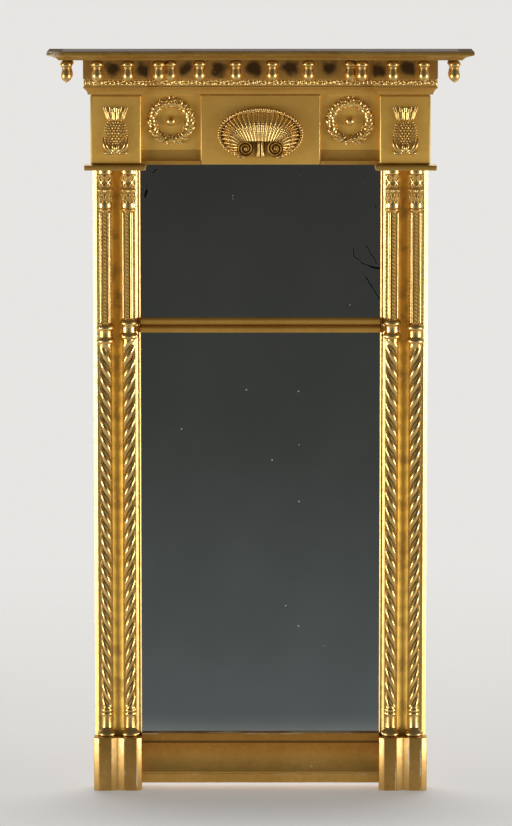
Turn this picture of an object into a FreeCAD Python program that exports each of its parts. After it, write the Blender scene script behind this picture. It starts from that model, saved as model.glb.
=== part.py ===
import FreeCAD, Part
import os
import Sketcher
from types import SimpleNamespace

# Driving dimensions of the giltwood pier mirror, in millimetres.
# Heights are counted up from the foot of the plinths, depths forward from the wall.
SIZES = {
    # frame
    "hang_height": 1100,
    "sight_width": 440,
    "stile_thickness": 20,
    "rebate": 8,
    "tenon_length": 20,
    "tenon_thickness": 10,
    "tenon_shoulder": 16,
    # facing boards with a flute down the middle and a leaning bead along each edge
    "facing_width": 86.5,
    "facing_thickness": 4,
    "bead_width": 7.5,
    "bead_rise": 3.4,
    "bead_swell": 0.7,
    "quirk": 0.8,
    "flute_width": 17,
    "flute_depth": 2.2,
    "sight_fillet": 2.5,
    "sight_fillet_rise": 2,
    # mirror plates and backing
    "glass_thickness": 4,
    "glass_play": 1,
    "glass_seat": 8,
    "backboard_thickness": 10,
    "backboard_lap": 12,
    "backboard_foot": 20,
    "backboard_gap": 2,
    "backboard_head_drop": 6,
    "block_width": 12,
    "block_length": 60,
    "nail_radius": 1.2,
    "nail_head_radius": 3,
    "nail_head": 1,
    "nail_length": 24,
    "nail_margin": 40,
    # plinths
    "plinth_height": 100,
    "plinth_width": 88.8,
    "plinth_depth": 30,
    "plinth_valley": 24,
    "plinth_valley_depth": 4,
    "plinth_cant": 10,
    "plinth_cant_depth": 6,
    # bottom rail
    "rail_foot": 12,
    "rail_depth": 12,
    "rail_low_fillet": 16.5,
    "rail_quirk": 3.5,
    "rail_cove": 54.4,
    "rail_cove_depth": 8,
    "rail_step": 5.2,
    "rail_step_depth": 1.5,
    "rail_top_fillet": 13.4,
    # crossbar between the plates
    "crossbar_middle": 866.5,
    "crossbar_height": 27,
    "crossbar_depth": 11,
    "crossbar_groove": 1.5,
    "crossbar_web": 7,
    "crossbar_web_depth": 16,
    # half-round colonnettes
    "column_top": 1153,
    "column_gap": 6.5,
    "base_radius": 18.25,
    "base_torus": 15,
    "base_seat_radius": 12,
    "base_barrel": 23,
    "base_barrel_radius": 9.5,
    "base_ring": 7,
    "base_ring_radius": 11.5,
    "twist_foot_radius": 9.5,
    "twist_head_radius": 12,
    "outer_collar_foot": 833,
    "inner_collar_foot": 841.7,
    "collar_ring": 12,
    "collar_ring_radius": 17,
    "collar_neck": 12,
    "collar_neck_radius": 13.5,
    "upper_shaft_radius": 13,
    "capital_ring": 5,
    "capital_ring_radius": 14.2,
    "capital_bell_radius": 12,
    "capital_leaf_height": 36,
    "capital_leaf_radius": 15.5,
    "capital_neck_radius": 12.5,
    "capital_abacus": 7,
    "capital_abacus_radius": 14.5,
    "capital_height": 76,
    # frieze
    "slab_thickness": 9.5,
    "slab_depth": 35,
    "slab_outer_lip": 11.2,
    "slab_inner_lip": 8,
    "frieze_height": 128.5,
    "end_block_inset": 2.6,
    "end_block_overhang": 3.8,
    "end_block_depth": 24,
    "tablet_depth": 16,
    "panel_width": 108.4,
    "panel_depth": 8,
    "panel_fillet": 7,
    "panel_cove": 19,
    "panel_cove_hollow": 3,
    "panel_cove_lip": 1,
    # carved ornaments
    "shell_margin": 30.5,
    "shell_height": 90,
    "shell_relief": 24,
    "shell_foot": 10.5,
    "shell_rise": 5,
    "shell_stem_width": 22,
    "volute_radius": 15,
    "volute_offset": 28,
    "volute_relief": 16,
    "pineapple_foot": 20.5,
    "pineapple_leaf_height": 22,
    "pineapple_leaf_width": 47,
    "pineapple_leaf_relief": 12,
    "pineapple_fruit_rise": 7.5,
    "pineapple_fruit_height": 58,
    "pineapple_fruit_width": 43,
    "pineapple_relief": 16,
    "pineapple_crown_height": 25,
    "pineapple_crown_width": 44,
    "pineapple_crown_relief": 13,
    "pineapple_neck_width": 27,
    "pineapple_neck_relief": 9,
    "pineapple_overlap": 4,
    "wreath_level": 79.5,
    "wreath_radius": 35,
    "wreath_tube": 8.75,
    "ball_radius": 9.2,
    "ball_stand": 4,
    # entablature and cornice
    "break_depth": 13,
    "bed_height": 14.4,
    "bed_foot": 4,
    "bed_head": 12,
    "bed_hollow": 2.5,
    "leaf_height": 14.4,
    "leaf_depth": 15,
    "band_height": 36.2,
    "band_depth": 12,
    "cornice_height": 16,
    "cornice_fillet": 6.5,
    "cornice_board": 49,
    "cornice_soffit": 55,
    "cornice_reach": 75.4,
    "cornice_hollow": 3.5,
    # acorn drops
    "acorn_inset": 41,
    "acorn_pitch": 55.7,
    "acorn_centre_pitch": 65.8,
    "acorn_centre_shift": -11.5,
    "acorn_length": 41.5,
    "acorn_neck": 6,
    "acorn_neck_radius": 6,
    "acorn_cap": 10,
    "acorn_cap_radius": 9.7,
    "acorn_cap_swell": 1.6,
    "acorn_nut_radius": 8.4,
    "acorn_nut_swell": 4,
    "acorn_peg": 10,
    "acorn_peg_radius": 3,
    # hanging hardware on the backs of the stiles
    "hanger_width": 22,
    "hanger_height": 46,
    "hanger_thickness": 2,
    "lug_width": 3,
    "lug_wall": 1.5,
    "pivot_depth": 5,
    "ring_radius": 14,
    "ring_wire": 1.75,
    "ring_play": 0.4,
    "screw_radius": 1.8,
    "screw_head_radius": 3.6,
    "screw_length": 14,
    "screw_spacing": 30,
}

doc = FreeCAD.newDocument("giltwood_mirror")


class Size:
    """A length together with the sheet formula that gives it."""

    def __init__(self, value, formula):
        self.value = value
        self.formula = formula

    def __add__(self, other):
        other = as_size(other)
        return Size(self.value + other.value, f"({self.formula} + {other.formula})")

    def __sub__(self, other):
        other = as_size(other)
        return Size(self.value - other.value, f"({self.formula} - {other.formula})")

    def __mul__(self, other):
        other = as_size(other)
        return Size(self.value * other.value, f"({self.formula} * {other.formula})")

    def __truediv__(self, other):
        other = as_size(other)
        return Size(self.value / other.value, f"({self.formula} / {other.formula})")

    def __neg__(self):
        return Size(-self.value, f"(-{self.formula})")


def as_size(number):
    """A plain number becomes a Size of that number."""
    if isinstance(number, Size):
        return number
    return Size(number, f"({number})")


def larger(first, second):
    """The larger of two sizes."""
    return Size(max(first.value, second.value), f"max({first.formula}; {second.formula})")


def make_sheet():
    """Writes the driving dimensions into the sheet and returns them as named sizes."""
    sheet = doc.addObject("Spreadsheet::Sheet", "sizes")
    for row, (name, value) in enumerate(SIZES.items(), start=1):
        sheet.set(f"A{row}", name)
        sheet.set(f"B{row}", str(value))
        sheet.setAlias(f"B{row}", name)
    doc.recompute()
    return SimpleNamespace(**{name: Size(value, f"sizes.{name}") for name, value in SIZES.items()})


S = make_sheet()
ZERO = as_size(0)

# Depths of the layers, forward from the wall.
stile_back = S.backboard_thickness
stile_front = stile_back + S.stile_thickness
face_front = stile_front + S.facing_thickness
glass_back = stile_front - S.glass_thickness
block_front = stile_front + S.end_block_depth
tablet_front = stile_front + S.tablet_depth
panel_front = stile_front + S.panel_depth
centre_front = block_front - S.break_depth

# Distances from the centre line.
sight_edge = S.sight_width / 2
stile_inner = sight_edge + S.rebate
face_outer = sight_edge + S.facing_width
stile_middle = sight_edge + S.facing_width / 2
plinth_outer = sight_edge + S.plinth_width
block_inner = sight_edge - S.end_block_inset
block_outer = face_outer + S.end_block_overhang
block_middle = (block_inner + block_outer) / 2
tablet_edge = block_inner - S.panel_width
panel_middle = (tablet_edge + block_inner) / 2
glass_edge = stile_inner - S.glass_play
backboard_edge = stile_inner + S.backboard_lap
column_step = larger(S.base_radius, S.collar_ring_radius) + S.column_gap / 2
COLUMNS = {"outer": stile_middle + column_step, "inner": stile_middle - column_step}

# Heights above the foot of the plinths.
rail_cove_foot = S.rail_foot + S.rail_low_fillet + S.rail_quirk
rail_cove_head = rail_cove_foot + S.rail_cove
rail_head = rail_cove_head + S.rail_step + S.rail_top_fillet
lower_glass_foot = rail_head - S.glass_seat
web_foot = S.crossbar_middle - S.crossbar_web / 2
web_head = S.crossbar_middle + S.crossbar_web / 2
slab_head = S.column_top + S.slab_thickness
frieze_head = slab_head + S.frieze_height
top_rail_foot = slab_head + S.glass_seat - S.glass_play
bed_head = frieze_head + S.bed_height
leaf_head = bed_head + S.leaf_height
soffit = leaf_head + S.band_height
backboard_head = frieze_head - S.backboard_head_drop

FRONT_HALF = FreeCAD.Rotation(FreeCAD.Vector(0, 0, 1), 180)
TOWARDS_WALL = FreeCAD.Rotation(FreeCAD.Vector(1, 0, 0), -90)
TOWARDS_FRONT = FreeCAD.Rotation(FreeCAD.Vector(1, 0, 0), 90)
ALONG_X = FreeCAD.Rotation(FreeCAD.Vector(0, 1, 0), 90)


def bind(obj, **sizes):
    """Ties the properties of an object to the sheet."""
    for name, size in sizes.items():
        obj.setExpression(name, as_size(size).formula)


def place(obj, x, depth, height, rotation=None):
    """Puts an object at a distance from the centre line, a depth and a height, all tied to the sheet."""
    if rotation is not None:
        obj.Placement = FreeCAD.Placement(FreeCAD.Vector(), rotation)
    spot = {"x": x, "y": -as_size(depth), "z": as_size(height) - S.hang_height}
    for axis, size in spot.items():
        obj.setExpression(f"Placement.Base.{axis}", as_size(size).formula)


def primitive(kind, label, **sizes):
    """A Part primitive with its sizes tied to the sheet."""
    obj = doc.addObject(f"Part::{kind}", label)
    obj.Label = label
    bind(obj, **sizes)
    return obj


def board(label, left, right, back, front, foot, head):
    """A straight board between two sides, two depths and two heights."""
    left, right, back, front, foot, head = map(as_size, (left, right, back, front, foot, head))
    box = primitive("Box", label, Length=right - left, Width=front - back, Height=head - foot)
    place(box, left, front, foot)
    return box


def boolean(kind, label, **links):
    """A boolean or copy of other objects under its own label."""
    obj = doc.addObject(f"Part::{kind}", label)
    obj.Label = label
    for name, target in links.items():
        setattr(obj, name, target)
    return obj


def fuse(label, *pieces):
    return boolean("MultiFuse", label, Shapes=list(pieces))


def group(label, *pieces):
    return boolean("Compound", label, Links=list(pieces))


def cut(label, base, *tools):
    """The base less every tool, so that each tool fits its own seat."""
    tool = tools[0] if len(tools) == 1 else group(f"{label}_seats", *tools)
    return boolean("Cut", label, Base=base, Tool=tool)


def mirrored(label, source):
    """The left-hand twin of a right-hand piece."""
    return boolean("Mirroring", label, Source=source, Normal=FreeCAD.Vector(1, 0, 0))


def swell(rise):
    """Marks an edge of an outline as an arc that rises outward."""
    return 1, rise


def hollow(depth):
    """Marks an edge of an outline as an arc that is hollowed inward."""
    return -1, depth


def draw(sketch, corners, hand):
    """Closes the corners, listed counter-clockwise, into one outline tied to the sheet.

    A corner is (u, v) or (u, v, arc), where arc shapes the edge that leaves it. A hand of -1 is for
    outlines drawn against depth, which the sketch holds as a negative coordinate.
    """
    points = []
    for corner in corners:
        u, v = as_size(corner[0]), as_size(corner[1])
        points.append((u, v) if hand > 0 else against_depth(sketch, u, v))
    vectors = [FreeCAD.Vector(u.value, v.value, 0) for u, v in points]
    ends = []
    for index, corner in enumerate(corners):
        start, stop = vectors[index], vectors[(index + 1) % len(vectors)]
        edge = Part.LineSegment(start, stop)
        if len(corner) > 2:
            sign, rise = corner[2]
            along = stop - start
            across = FreeCAD.Vector(along.y, -along.x, 0).normalize()
            edge = Part.Arc(start, (start + stop) * 0.5 + across * (sign * hand * rise.value), stop)
        geo = sketch.addGeometry(edge)
        forward = sketch.getPoint(geo, 1).distanceToPoint(start) < 1e-6
        ends.append((geo, 1, 2) if forward else (geo, 2, 1))
    for index, corner in enumerate(corners):
        geo, first, last = ends[index]
        follower, follower_first, _ = ends[(index + 1) % len(ends)]
        sketch.addConstraint(Sketcher.Constraint("Coincident", geo, last, follower, follower_first))
        for kind, size in zip(("DistanceX", "DistanceY"), points[index]):
            number = sketch.addConstraint(Sketcher.Constraint(kind, -1, 1, geo, first, size.value))
            sketch.setExpression(f"Constraints[{number}]", size.formula)
        if len(corner) > 2:
            rise = corner[2][1]
            (u0, v0), (u1, v1) = points[index], points[(index + 1) % len(points)]
            chord = (u1 - u0) * (u1 - u0) + (v1 - v0) * (v1 - v0)
            radius = chord / (rise * 8) + rise / 2
            number = sketch.addConstraint(Sketcher.Constraint("Radius", geo, radius.value))
            sketch.setExpression(f"Constraints[{number}]", radius.formula)


def against_depth(sketch, u, v):
    """Turns the depth among two coordinates into the sketch's negative one."""
    plane = sketch.AttachmentSupport[0][0].Role
    return (u, -v) if plane == "XY_Plane" else (-u, v)


def sketch_on(body, plane, corners, hand):
    """A closed outline on one of a body's own planes."""
    sketch = body.newObject("Sketcher::SketchObject", f"{body.Label}_outline")
    origin = next(item for item in body.Origin.OriginFeatures if item.Role == plane)
    sketch.AttachmentSupport = (origin, [""])
    sketch.MapMode = "FlatFace"
    draw(sketch, corners, hand)
    return sketch


def new_body(label):
    body = doc.addObject("PartDesign::Body", label)
    body.Label = label
    return body


def plan_board(label, corners, foot, head):
    """A piece of one outline, drawn in plan as (side, depth), run up between two heights."""
    body = new_body(label)
    pad = body.newObject("PartDesign::Pad", f"{label}_pad")
    pad.Profile = sketch_on(body, "XY_Plane", corners, -1)
    bind(pad, Length=head - foot)
    place(body, ZERO, ZERO, foot)
    return body


def length_moulding(label, corners, middle, length):
    """A moulding of one section, drawn as (depth, height), run to a length about its middle."""
    body = new_body(label)
    pad = body.newObject("PartDesign::Pad", f"{label}_pad")
    pad.Profile = sketch_on(body, "YZ_Plane", corners, -1)
    pad.SideType = "Symmetric"
    bind(pad, Length=length)
    place(body, middle, ZERO, ZERO)
    return body


def turning(label, corners, x, depth, height, angle=180):
    """A turned piece of one profile, drawn as (radius, height); 180 degrees is split and faces front."""
    body = new_body(label)
    spin = body.newObject("PartDesign::Revolution", f"{label}_spin")
    profile = sketch_on(body, "XZ_Plane", corners, 1)
    spin.Profile = profile
    spin.ReferenceAxis = (profile, ["V_Axis"])
    spin.Angle = angle
    spin.Reversed = True
    place(body, x, depth, height)
    return body


def make_rails(nails):
    """Bottom rail with a coved face, plain top rail and the bar between the plates."""
    tenon_back = stile_back + (S.stile_thickness - S.tenon_thickness) / 2
    tenon_front = tenon_back + S.tenon_thickness
    tenon_edge = stile_inner + S.tenon_length
    front = stile_front + S.rail_depth
    fillet_foot = rail_head - S.rail_top_fillet
    low_fillet = S.rail_foot + S.rail_low_fillet
    step_front = front - S.rail_step_depth
    face = length_moulding("rail_face", [
        (stile_front, S.rail_foot),
        (front, S.rail_foot),
        (front, low_fillet),
        (step_front, low_fillet),
        (step_front, rail_cove_foot, hollow(S.rail_cove_depth)),
        (step_front, rail_cove_head),
        (step_front, fillet_foot),
        (front, fillet_foot),
        (front, rail_head),
        (stile_front, rail_head),
    ], ZERO, S.sight_width)
    rail_body = board("rail_body", -stile_inner, stile_inner, stile_back, stile_front,
                      S.rail_foot, lower_glass_foot)
    rail_tenon = board("rail_tenon", -tenon_edge, tenon_edge, tenon_back, tenon_front,
                       S.rail_foot + S.tenon_shoulder, lower_glass_foot - S.tenon_shoulder)
    bottom_rail = cut("bottom_rail", fuse("bottom_rail_blank", face, rail_body, rail_tenon), nails)
    top_body = board("top_rail_body", -stile_inner, stile_inner, stile_back, stile_front,
                     top_rail_foot, frieze_head)
    top_tenon = board("top_rail_tenon", -tenon_edge, tenon_edge, tenon_back, tenon_front,
                      top_rail_foot + S.tenon_shoulder, frieze_head - S.tenon_shoulder)
    top_rail = cut("top_rail", fuse("top_rail_blank", top_body, top_tenon), nails)
    return bottom_rail, top_rail


def make_crossbar():
    """Bar of two flat reeds with a web that parts the plates and is housed in the stiles."""
    foot = S.crossbar_middle - S.crossbar_height / 2
    head = S.crossbar_middle + S.crossbar_height / 2
    shoulder = stile_front + S.crossbar_depth / 2
    reed_rise = S.crossbar_depth / 2 - S.crossbar_groove
    groove = shoulder + S.crossbar_groove
    face = length_moulding("crossbar_face", [
        (stile_front, foot),
        (shoulder, foot, swell(reed_rise)),
        (groove, S.crossbar_middle, swell(reed_rise)),
        (shoulder, head),
        (stile_front, head),
    ], ZERO, S.sight_width)
    web_edge = stile_inner + S.tenon_length
    web = board("crossbar_web_bar", -web_edge, web_edge, stile_front - S.crossbar_web_depth, stile_front,
                web_foot, web_head)
    return fuse("crossbar", face, web)


def make_nails():
    """Flat-headed nails through the laps of the backboards into the stiles."""
    middle = stile_inner + S.backboard_lap / 2
    spans = [(S.backboard_foot, web_foot - S.backboard_gap), (web_head, backboard_head)]
    heights = []
    for foot, head in spans:
        heights += [foot + S.nail_margin, (foot + head) / 2, head - S.nail_margin]
    nails = []
    for number, height in enumerate(heights, start=1):
        head = primitive("Cylinder", f"nail_{number}_head", Radius=S.nail_head_radius, Height=S.nail_head)
        shank = primitive("Cylinder", f"nail_{number}_shank", Radius=S.nail_radius, Height=S.nail_length)
        for piece, depth in ((head, S.nail_head), (shank, S.nail_length)):
            place(piece, middle, depth, height, TOWARDS_WALL)
        nails.append(fuse(f"nail_{number}", head, shank))
    right = group("right_nails", *nails)
    return group("backboard_nails", right, mirrored("left_nails", right))


def make_hanger():
    """Right-hand hanger: a screwed plate whose lug carries a loose ring."""
    pivot_height = S.hang_height
    bore = S.ring_wire + S.ring_play
    plate_back = stile_back - S.hanger_thickness
    plate_head = pivot_height + S.hanger_height / 2
    plate_foot = pivot_height - S.hanger_height / 2
    half_width = S.hanger_width / 2
    plate = board("hanger_plate_body", stile_middle - half_width, stile_middle + half_width,
                  plate_back, stile_back, plate_foot, plate_head)
    lug_radius = bore + S.lug_wall
    lug_round = primitive("Cylinder", "lug_round", Radius=lug_radius, Height=S.lug_width)
    lug_bore = primitive("Cylinder", "lug_bore", Radius=bore, Height=S.lug_width)
    for piece in (lug_round, lug_bore):
        place(piece, stile_middle - S.lug_width / 2, S.pivot_depth, pivot_height, ALONG_X)
    lug_foot = board("lug_foot", stile_middle - S.lug_width / 2, stile_middle + S.lug_width / 2,
                     S.pivot_depth, plate_back, pivot_height - lug_radius, pivot_height + lug_radius)
    screws = []
    for number, side in enumerate((-1, 1), start=1):
        head = primitive("Cone", f"screw_{number}_head", Radius1=S.screw_radius, Radius2=S.screw_head_radius,
                         Height=S.hanger_thickness)
        shank = primitive("Cylinder", f"screw_{number}_shank", Radius=S.screw_radius, Height=S.screw_length)
        height = pivot_height + S.screw_spacing * side / 2
        place(head, stile_middle, stile_back, height, TOWARDS_WALL)
        place(shank, stile_middle, stile_back + S.screw_length, height, TOWARDS_WALL)
        screws.append(fuse(f"screw_{number}", head, shank))
    right_screws = group("right_screws", *screws)
    hanger = fuse("hanger_with_lug", plate, lug_round, lug_foot)
    right_plate = cut("right_hanger_plate", hanger, lug_bore, right_screws)
    ring = primitive("Torus", "right_hanging_ring", Radius1=S.ring_radius, Radius2=S.ring_wire)
    place(ring, stile_middle, S.pivot_depth, pivot_height - S.ring_radius, TOWARDS_WALL)
    return right_plate, right_screws, ring


def make_stile(rails, nails, screws):
    blank = board("stile_blank", stile_inner, face_outer, stile_back, stile_front, ZERO, frieze_head)
    return cut("right_stile", blank, *rails, nails, screws)


def make_facing():
    """Thin face board of a stile: a middle flute, quirked beads that lean outward and a sight fillet."""
    base = face_front - S.bead_rise
    outer_quirk = face_outer - S.bead_width
    fillet_edge = sight_edge + S.sight_fillet
    bead_edge = fillet_edge + S.bead_width
    fillet_front = stile_front + S.sight_fillet_rise
    flute_inner = stile_middle - S.flute_width / 2
    flute_outer = stile_middle + S.flute_width / 2
    return plan_board("right_facing", [
        (sight_edge, stile_front),
        (face_outer, stile_front),
        (face_outer, base, swell(S.bead_swell)),
        (outer_quirk, face_front),
        (outer_quirk, base),
        (outer_quirk - S.quirk, base),
        (outer_quirk - S.quirk, face_front),
        (flute_outer, face_front, hollow(S.flute_depth)),
        (flute_inner, face_front),
        (bead_edge + S.quirk, face_front),
        (bead_edge + S.quirk, base),
        (bead_edge, base),
        (bead_edge, face_front, swell(S.bead_swell)),
        (fillet_edge, base),
        (fillet_edge, fillet_front),
        (sight_edge, fillet_front),
    ], S.plinth_height, S.column_top)


def make_plinth():
    """Plinth block with two flat faces, a shallow valley between them and canted sides."""
    front = stile_front + S.plinth_depth
    side = front - S.plinth_cant_depth
    middle = sight_edge + S.plinth_width / 2
    valley_inner = middle - S.plinth_valley / 2
    valley_outer = middle + S.plinth_valley / 2
    return plan_board("right_plinth", [
        (sight_edge, stile_front),
        (plinth_outer, stile_front),
        (plinth_outer, side),
        (plinth_outer - S.plinth_cant, front),
        (valley_outer, front, hollow(S.plinth_valley_depth)),
        (valley_inner, front),
        (sight_edge + S.plinth_cant, front),
        (sight_edge, side),
    ], ZERO, S.plinth_height)


def make_column(place_name, x, collar_foot):
    """One half-round colonnette of five pieces, glued to the facing board."""
    twist_foot = S.plinth_height + S.base_torus + S.base_barrel + S.base_ring * 2
    collar_height = S.collar_ring * 2 + S.collar_neck
    collar_head = collar_foot + collar_height
    capital_foot = S.column_top - S.capital_height
    name = f"right_{place_name}"
    torus_rise = S.base_radius - S.base_seat_radius
    barrel_head = S.base_torus + S.base_barrel
    ring_head = barrel_head + S.base_ring
    base_head = ring_head + S.base_ring
    ring_rise = S.base_ring_radius - S.base_barrel_radius
    turning(f"{name}_base_turning", [
        (ZERO, ZERO),
        (S.base_seat_radius, ZERO, swell(torus_rise)),
        (S.base_seat_radius, S.base_torus),
        (S.base_barrel_radius, S.base_torus),
        (S.base_barrel_radius, barrel_head, swell(ring_rise)),
        (S.base_barrel_radius, ring_head, swell(ring_rise)),
        (S.base_barrel_radius, base_head),
        (ZERO, base_head),
    ], x, face_front, S.plinth_height)
    twist_length = collar_foot - twist_foot
    turning(f"{name}_twist_shaft", [
        (ZERO, ZERO),
        (S.twist_foot_radius, ZERO),
        (S.twist_head_radius, twist_length),
        (ZERO, twist_length),
    ], x, face_front, twist_foot)
    collar_rise = S.collar_ring_radius - S.collar_neck_radius
    upper_ring = S.collar_ring + S.collar_neck
    turning(f"{name}_collar", [
        (ZERO, ZERO),
        (S.collar_neck_radius, ZERO, swell(collar_rise)),
        (S.collar_neck_radius, S.collar_ring),
        (S.collar_neck_radius, upper_ring, swell(collar_rise)),
        (S.collar_neck_radius, collar_height),
        (ZERO, collar_height),
    ], x, face_front, collar_foot)
    shaft_length = capital_foot - collar_head
    turning(f"{name}_upper_shaft", [
        (ZERO, ZERO),
        (S.upper_shaft_radius, ZERO),
        (S.upper_shaft_radius, shaft_length),
        (ZERO, shaft_length),
    ], x, face_front, collar_head)
    astragal_rise = S.capital_ring_radius - S.capital_bell_radius
    leaf_head_height = S.capital_ring + S.capital_leaf_height
    abacus_foot = S.capital_height - S.capital_abacus
    turning(f"{name}_capital", [
        (ZERO, ZERO),
        (S.capital_bell_radius, ZERO, swell(astragal_rise)),
        (S.capital_bell_radius, S.capital_ring),
        (S.capital_leaf_radius, leaf_head_height),
        (S.capital_neck_radius, leaf_head_height),
        (S.capital_abacus_radius, abacus_foot),
        (S.capital_abacus_radius, S.capital_height),
        (ZERO, S.capital_height),
    ], x, face_front, capital_foot)
    pieces = ("base_turning", "twist_shaft", "collar", "upper_shaft", "capital")
    return [f"{name}_{piece}" for piece in pieces]


def make_glass_and_backing(nails):
    """Two mirror plates, the blocks wedged behind them and the boards that close the back."""
    board("lower_mirror_plate", -glass_edge, glass_edge, glass_back, stile_front, lower_glass_foot, web_foot)
    board("upper_mirror_plate", -glass_edge, glass_edge, glass_back, stile_front, web_head, top_rail_foot)
    blocks = []
    plates = ((lower_glass_foot, web_foot, 3), (web_head, top_rail_foot, 2))
    half_length = S.block_length / 2
    for foot, head, count in plates:
        for step in range(count):
            middle = foot + (head - foot) * (step + 0.5) / count
            blocks.append(board(f"block_{len(blocks) + 1}", stile_inner - S.block_width, stile_inner,
                                stile_back, glass_back, middle - half_length, middle + half_length))
    right = group("right_blocks", *blocks)
    group("glazing_blocks", right, mirrored("left_blocks", right))
    lower = board("lower_back_blank", -backboard_edge, backboard_edge, ZERO, stile_back,
                  S.backboard_foot, web_foot - S.backboard_gap)
    upper = board("upper_back_blank", -backboard_edge, backboard_edge, ZERO, stile_back,
                  web_head, backboard_head)
    cut("lower_backboard", lower, nails)
    cut("upper_backboard", upper, nails)


def make_frieze():
    """Slab, end block, sunk panel with its cove and the centre tablet."""
    slab = board("right_block_slab", block_inner - S.slab_inner_lip, block_outer + S.slab_outer_lip,
                 stile_front, stile_front + S.slab_depth, S.column_top, slab_head)
    block = board("right_end_block", block_inner, block_outer, stile_front, block_front,
                  slab_head, frieze_head)
    panel = board("right_wreath_panel", tablet_edge, block_inner, stile_front, panel_front,
                  slab_head, frieze_head)
    mirrored("left_block_slab", slab)
    mirrored("left_end_block", block)
    mirrored("left_wreath_panel", panel)
    board("centre_tablet", -tablet_edge, tablet_edge, stile_front, tablet_front, slab_head, frieze_head)
    fillet_head = slab_head + S.panel_fillet
    cove_head = fillet_head + S.panel_cove
    cove = length_moulding("right_panel_cove", [
        (panel_front, slab_head),
        (tablet_front, slab_head),
        (tablet_front, fillet_head, hollow(S.panel_cove_hollow)),
        (panel_front + S.panel_cove_lip, cove_head),
        (panel_front, cove_head),
    ], panel_middle, S.panel_width)
    group("panel_coves", cove, mirrored("left_panel_cove", cove))


def half_ellipsoid(label, x, depth, middle, width, relief, height):
    """The front half of an ellipsoid lying against a face at a depth."""
    dome = primitive("Ellipsoid", label, Radius1=height / 2, Radius2=width / 2, Radius3=relief)
    dome.Angle3 = 180
    place(dome, x, depth, middle, FRONT_HALF)
    return dome


def make_shell():
    """Scallop shell on the tablet: a dome over two volutes and a stem."""
    foot = slab_head + S.shell_foot
    volute_middle = foot + S.volute_radius
    shell_width = (tablet_edge - S.shell_margin) * 2
    dome = half_ellipsoid("shell_dome", ZERO, tablet_front, foot + S.shell_rise + S.shell_height / 2,
                          shell_width, S.shell_relief, S.shell_height)
    volutes = []
    for side in (-1, 1):
        disc = primitive("Cylinder", f"volute_{side + 2}", Radius=S.volute_radius, Height=S.volute_relief)
        place(disc, S.volute_offset * side, tablet_front + S.volute_relief, volute_middle, TOWARDS_WALL)
        volutes.append(disc)
    stem = board("shell_stem", -S.shell_stem_width / 2, S.shell_stem_width / 2,
                 tablet_front, tablet_front + S.volute_relief, foot, volute_middle)
    fuse("scallop_shell", dome, stem, *volutes)


def make_pineapple():
    """Pineapple on an end block: base leaves, oval fruit and a flared crown."""
    foot = slab_head + S.pineapple_foot
    fruit_foot = foot + S.pineapple_fruit_rise
    fruit_head = fruit_foot + S.pineapple_fruit_height
    fruit_middle = fruit_foot + S.pineapple_fruit_height / 2
    leaves = half_ellipsoid("pineapple_leaves", block_middle, block_front, foot + S.pineapple_leaf_height / 2,
                            S.pineapple_leaf_width, S.pineapple_leaf_relief, S.pineapple_leaf_height)
    fruit = half_ellipsoid("pineapple_fruit", block_middle, block_front, fruit_middle,
                           S.pineapple_fruit_width, S.pineapple_relief, S.pineapple_fruit_height)
    crown = primitive("Wedge", "pineapple_crown",
                      Xmin=-(S.pineapple_neck_width / 2), Xmax=S.pineapple_neck_width / 2,
                      Ymin=ZERO, Ymax=S.pineapple_crown_height + S.pineapple_overlap,
                      Zmin=ZERO, Zmax=S.pineapple_neck_relief,
                      X2min=-(S.pineapple_crown_width / 2), X2max=S.pineapple_crown_width / 2,
                      Z2min=ZERO, Z2max=S.pineapple_crown_relief)
    place(crown, block_middle, block_front, fruit_head - S.pineapple_overlap, TOWARDS_FRONT)
    mirrored("left_pineapple", fuse("right_pineapple", leaves, fruit, crown))


def make_wreath():
    """Half-round wreath with a ball at its centre, both flat against the sunk panel."""
    middle = slab_head + S.wreath_level
    reach = S.wreath_radius + S.wreath_tube * 2
    backing = board("wreath_backing", panel_middle - reach, panel_middle + reach,
                    ZERO, panel_front, middle - reach, middle + reach)
    ring = primitive("Torus", "wreath_ring", Radius1=S.wreath_radius, Radius2=S.wreath_tube)
    place(ring, panel_middle, panel_front, middle, TOWARDS_WALL)
    ball = primitive("Sphere", "ball_blank", Radius=S.ball_radius)
    place(ball, panel_middle, panel_front + S.ball_stand, middle)
    mirrored("left_wreath", cut("right_wreath", ring, backing))
    right_ball = cut("right_ball", ball, backing)
    group("wreath_balls", right_ball, mirrored("left_ball", right_ball))


def break_outline(offset, back):
    """Plan of the entablature, offset outward from its core, with both ends brought forward."""
    ends = block_front + offset
    centre = centre_front + offset
    outer = block_outer + offset
    inner = block_inner - offset
    return [(-outer, back), (outer, back), (outer, ends), (inner, ends), (inner, centre),
            (-inner, centre), (-inner, ends), (-outer, ends)]


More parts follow.
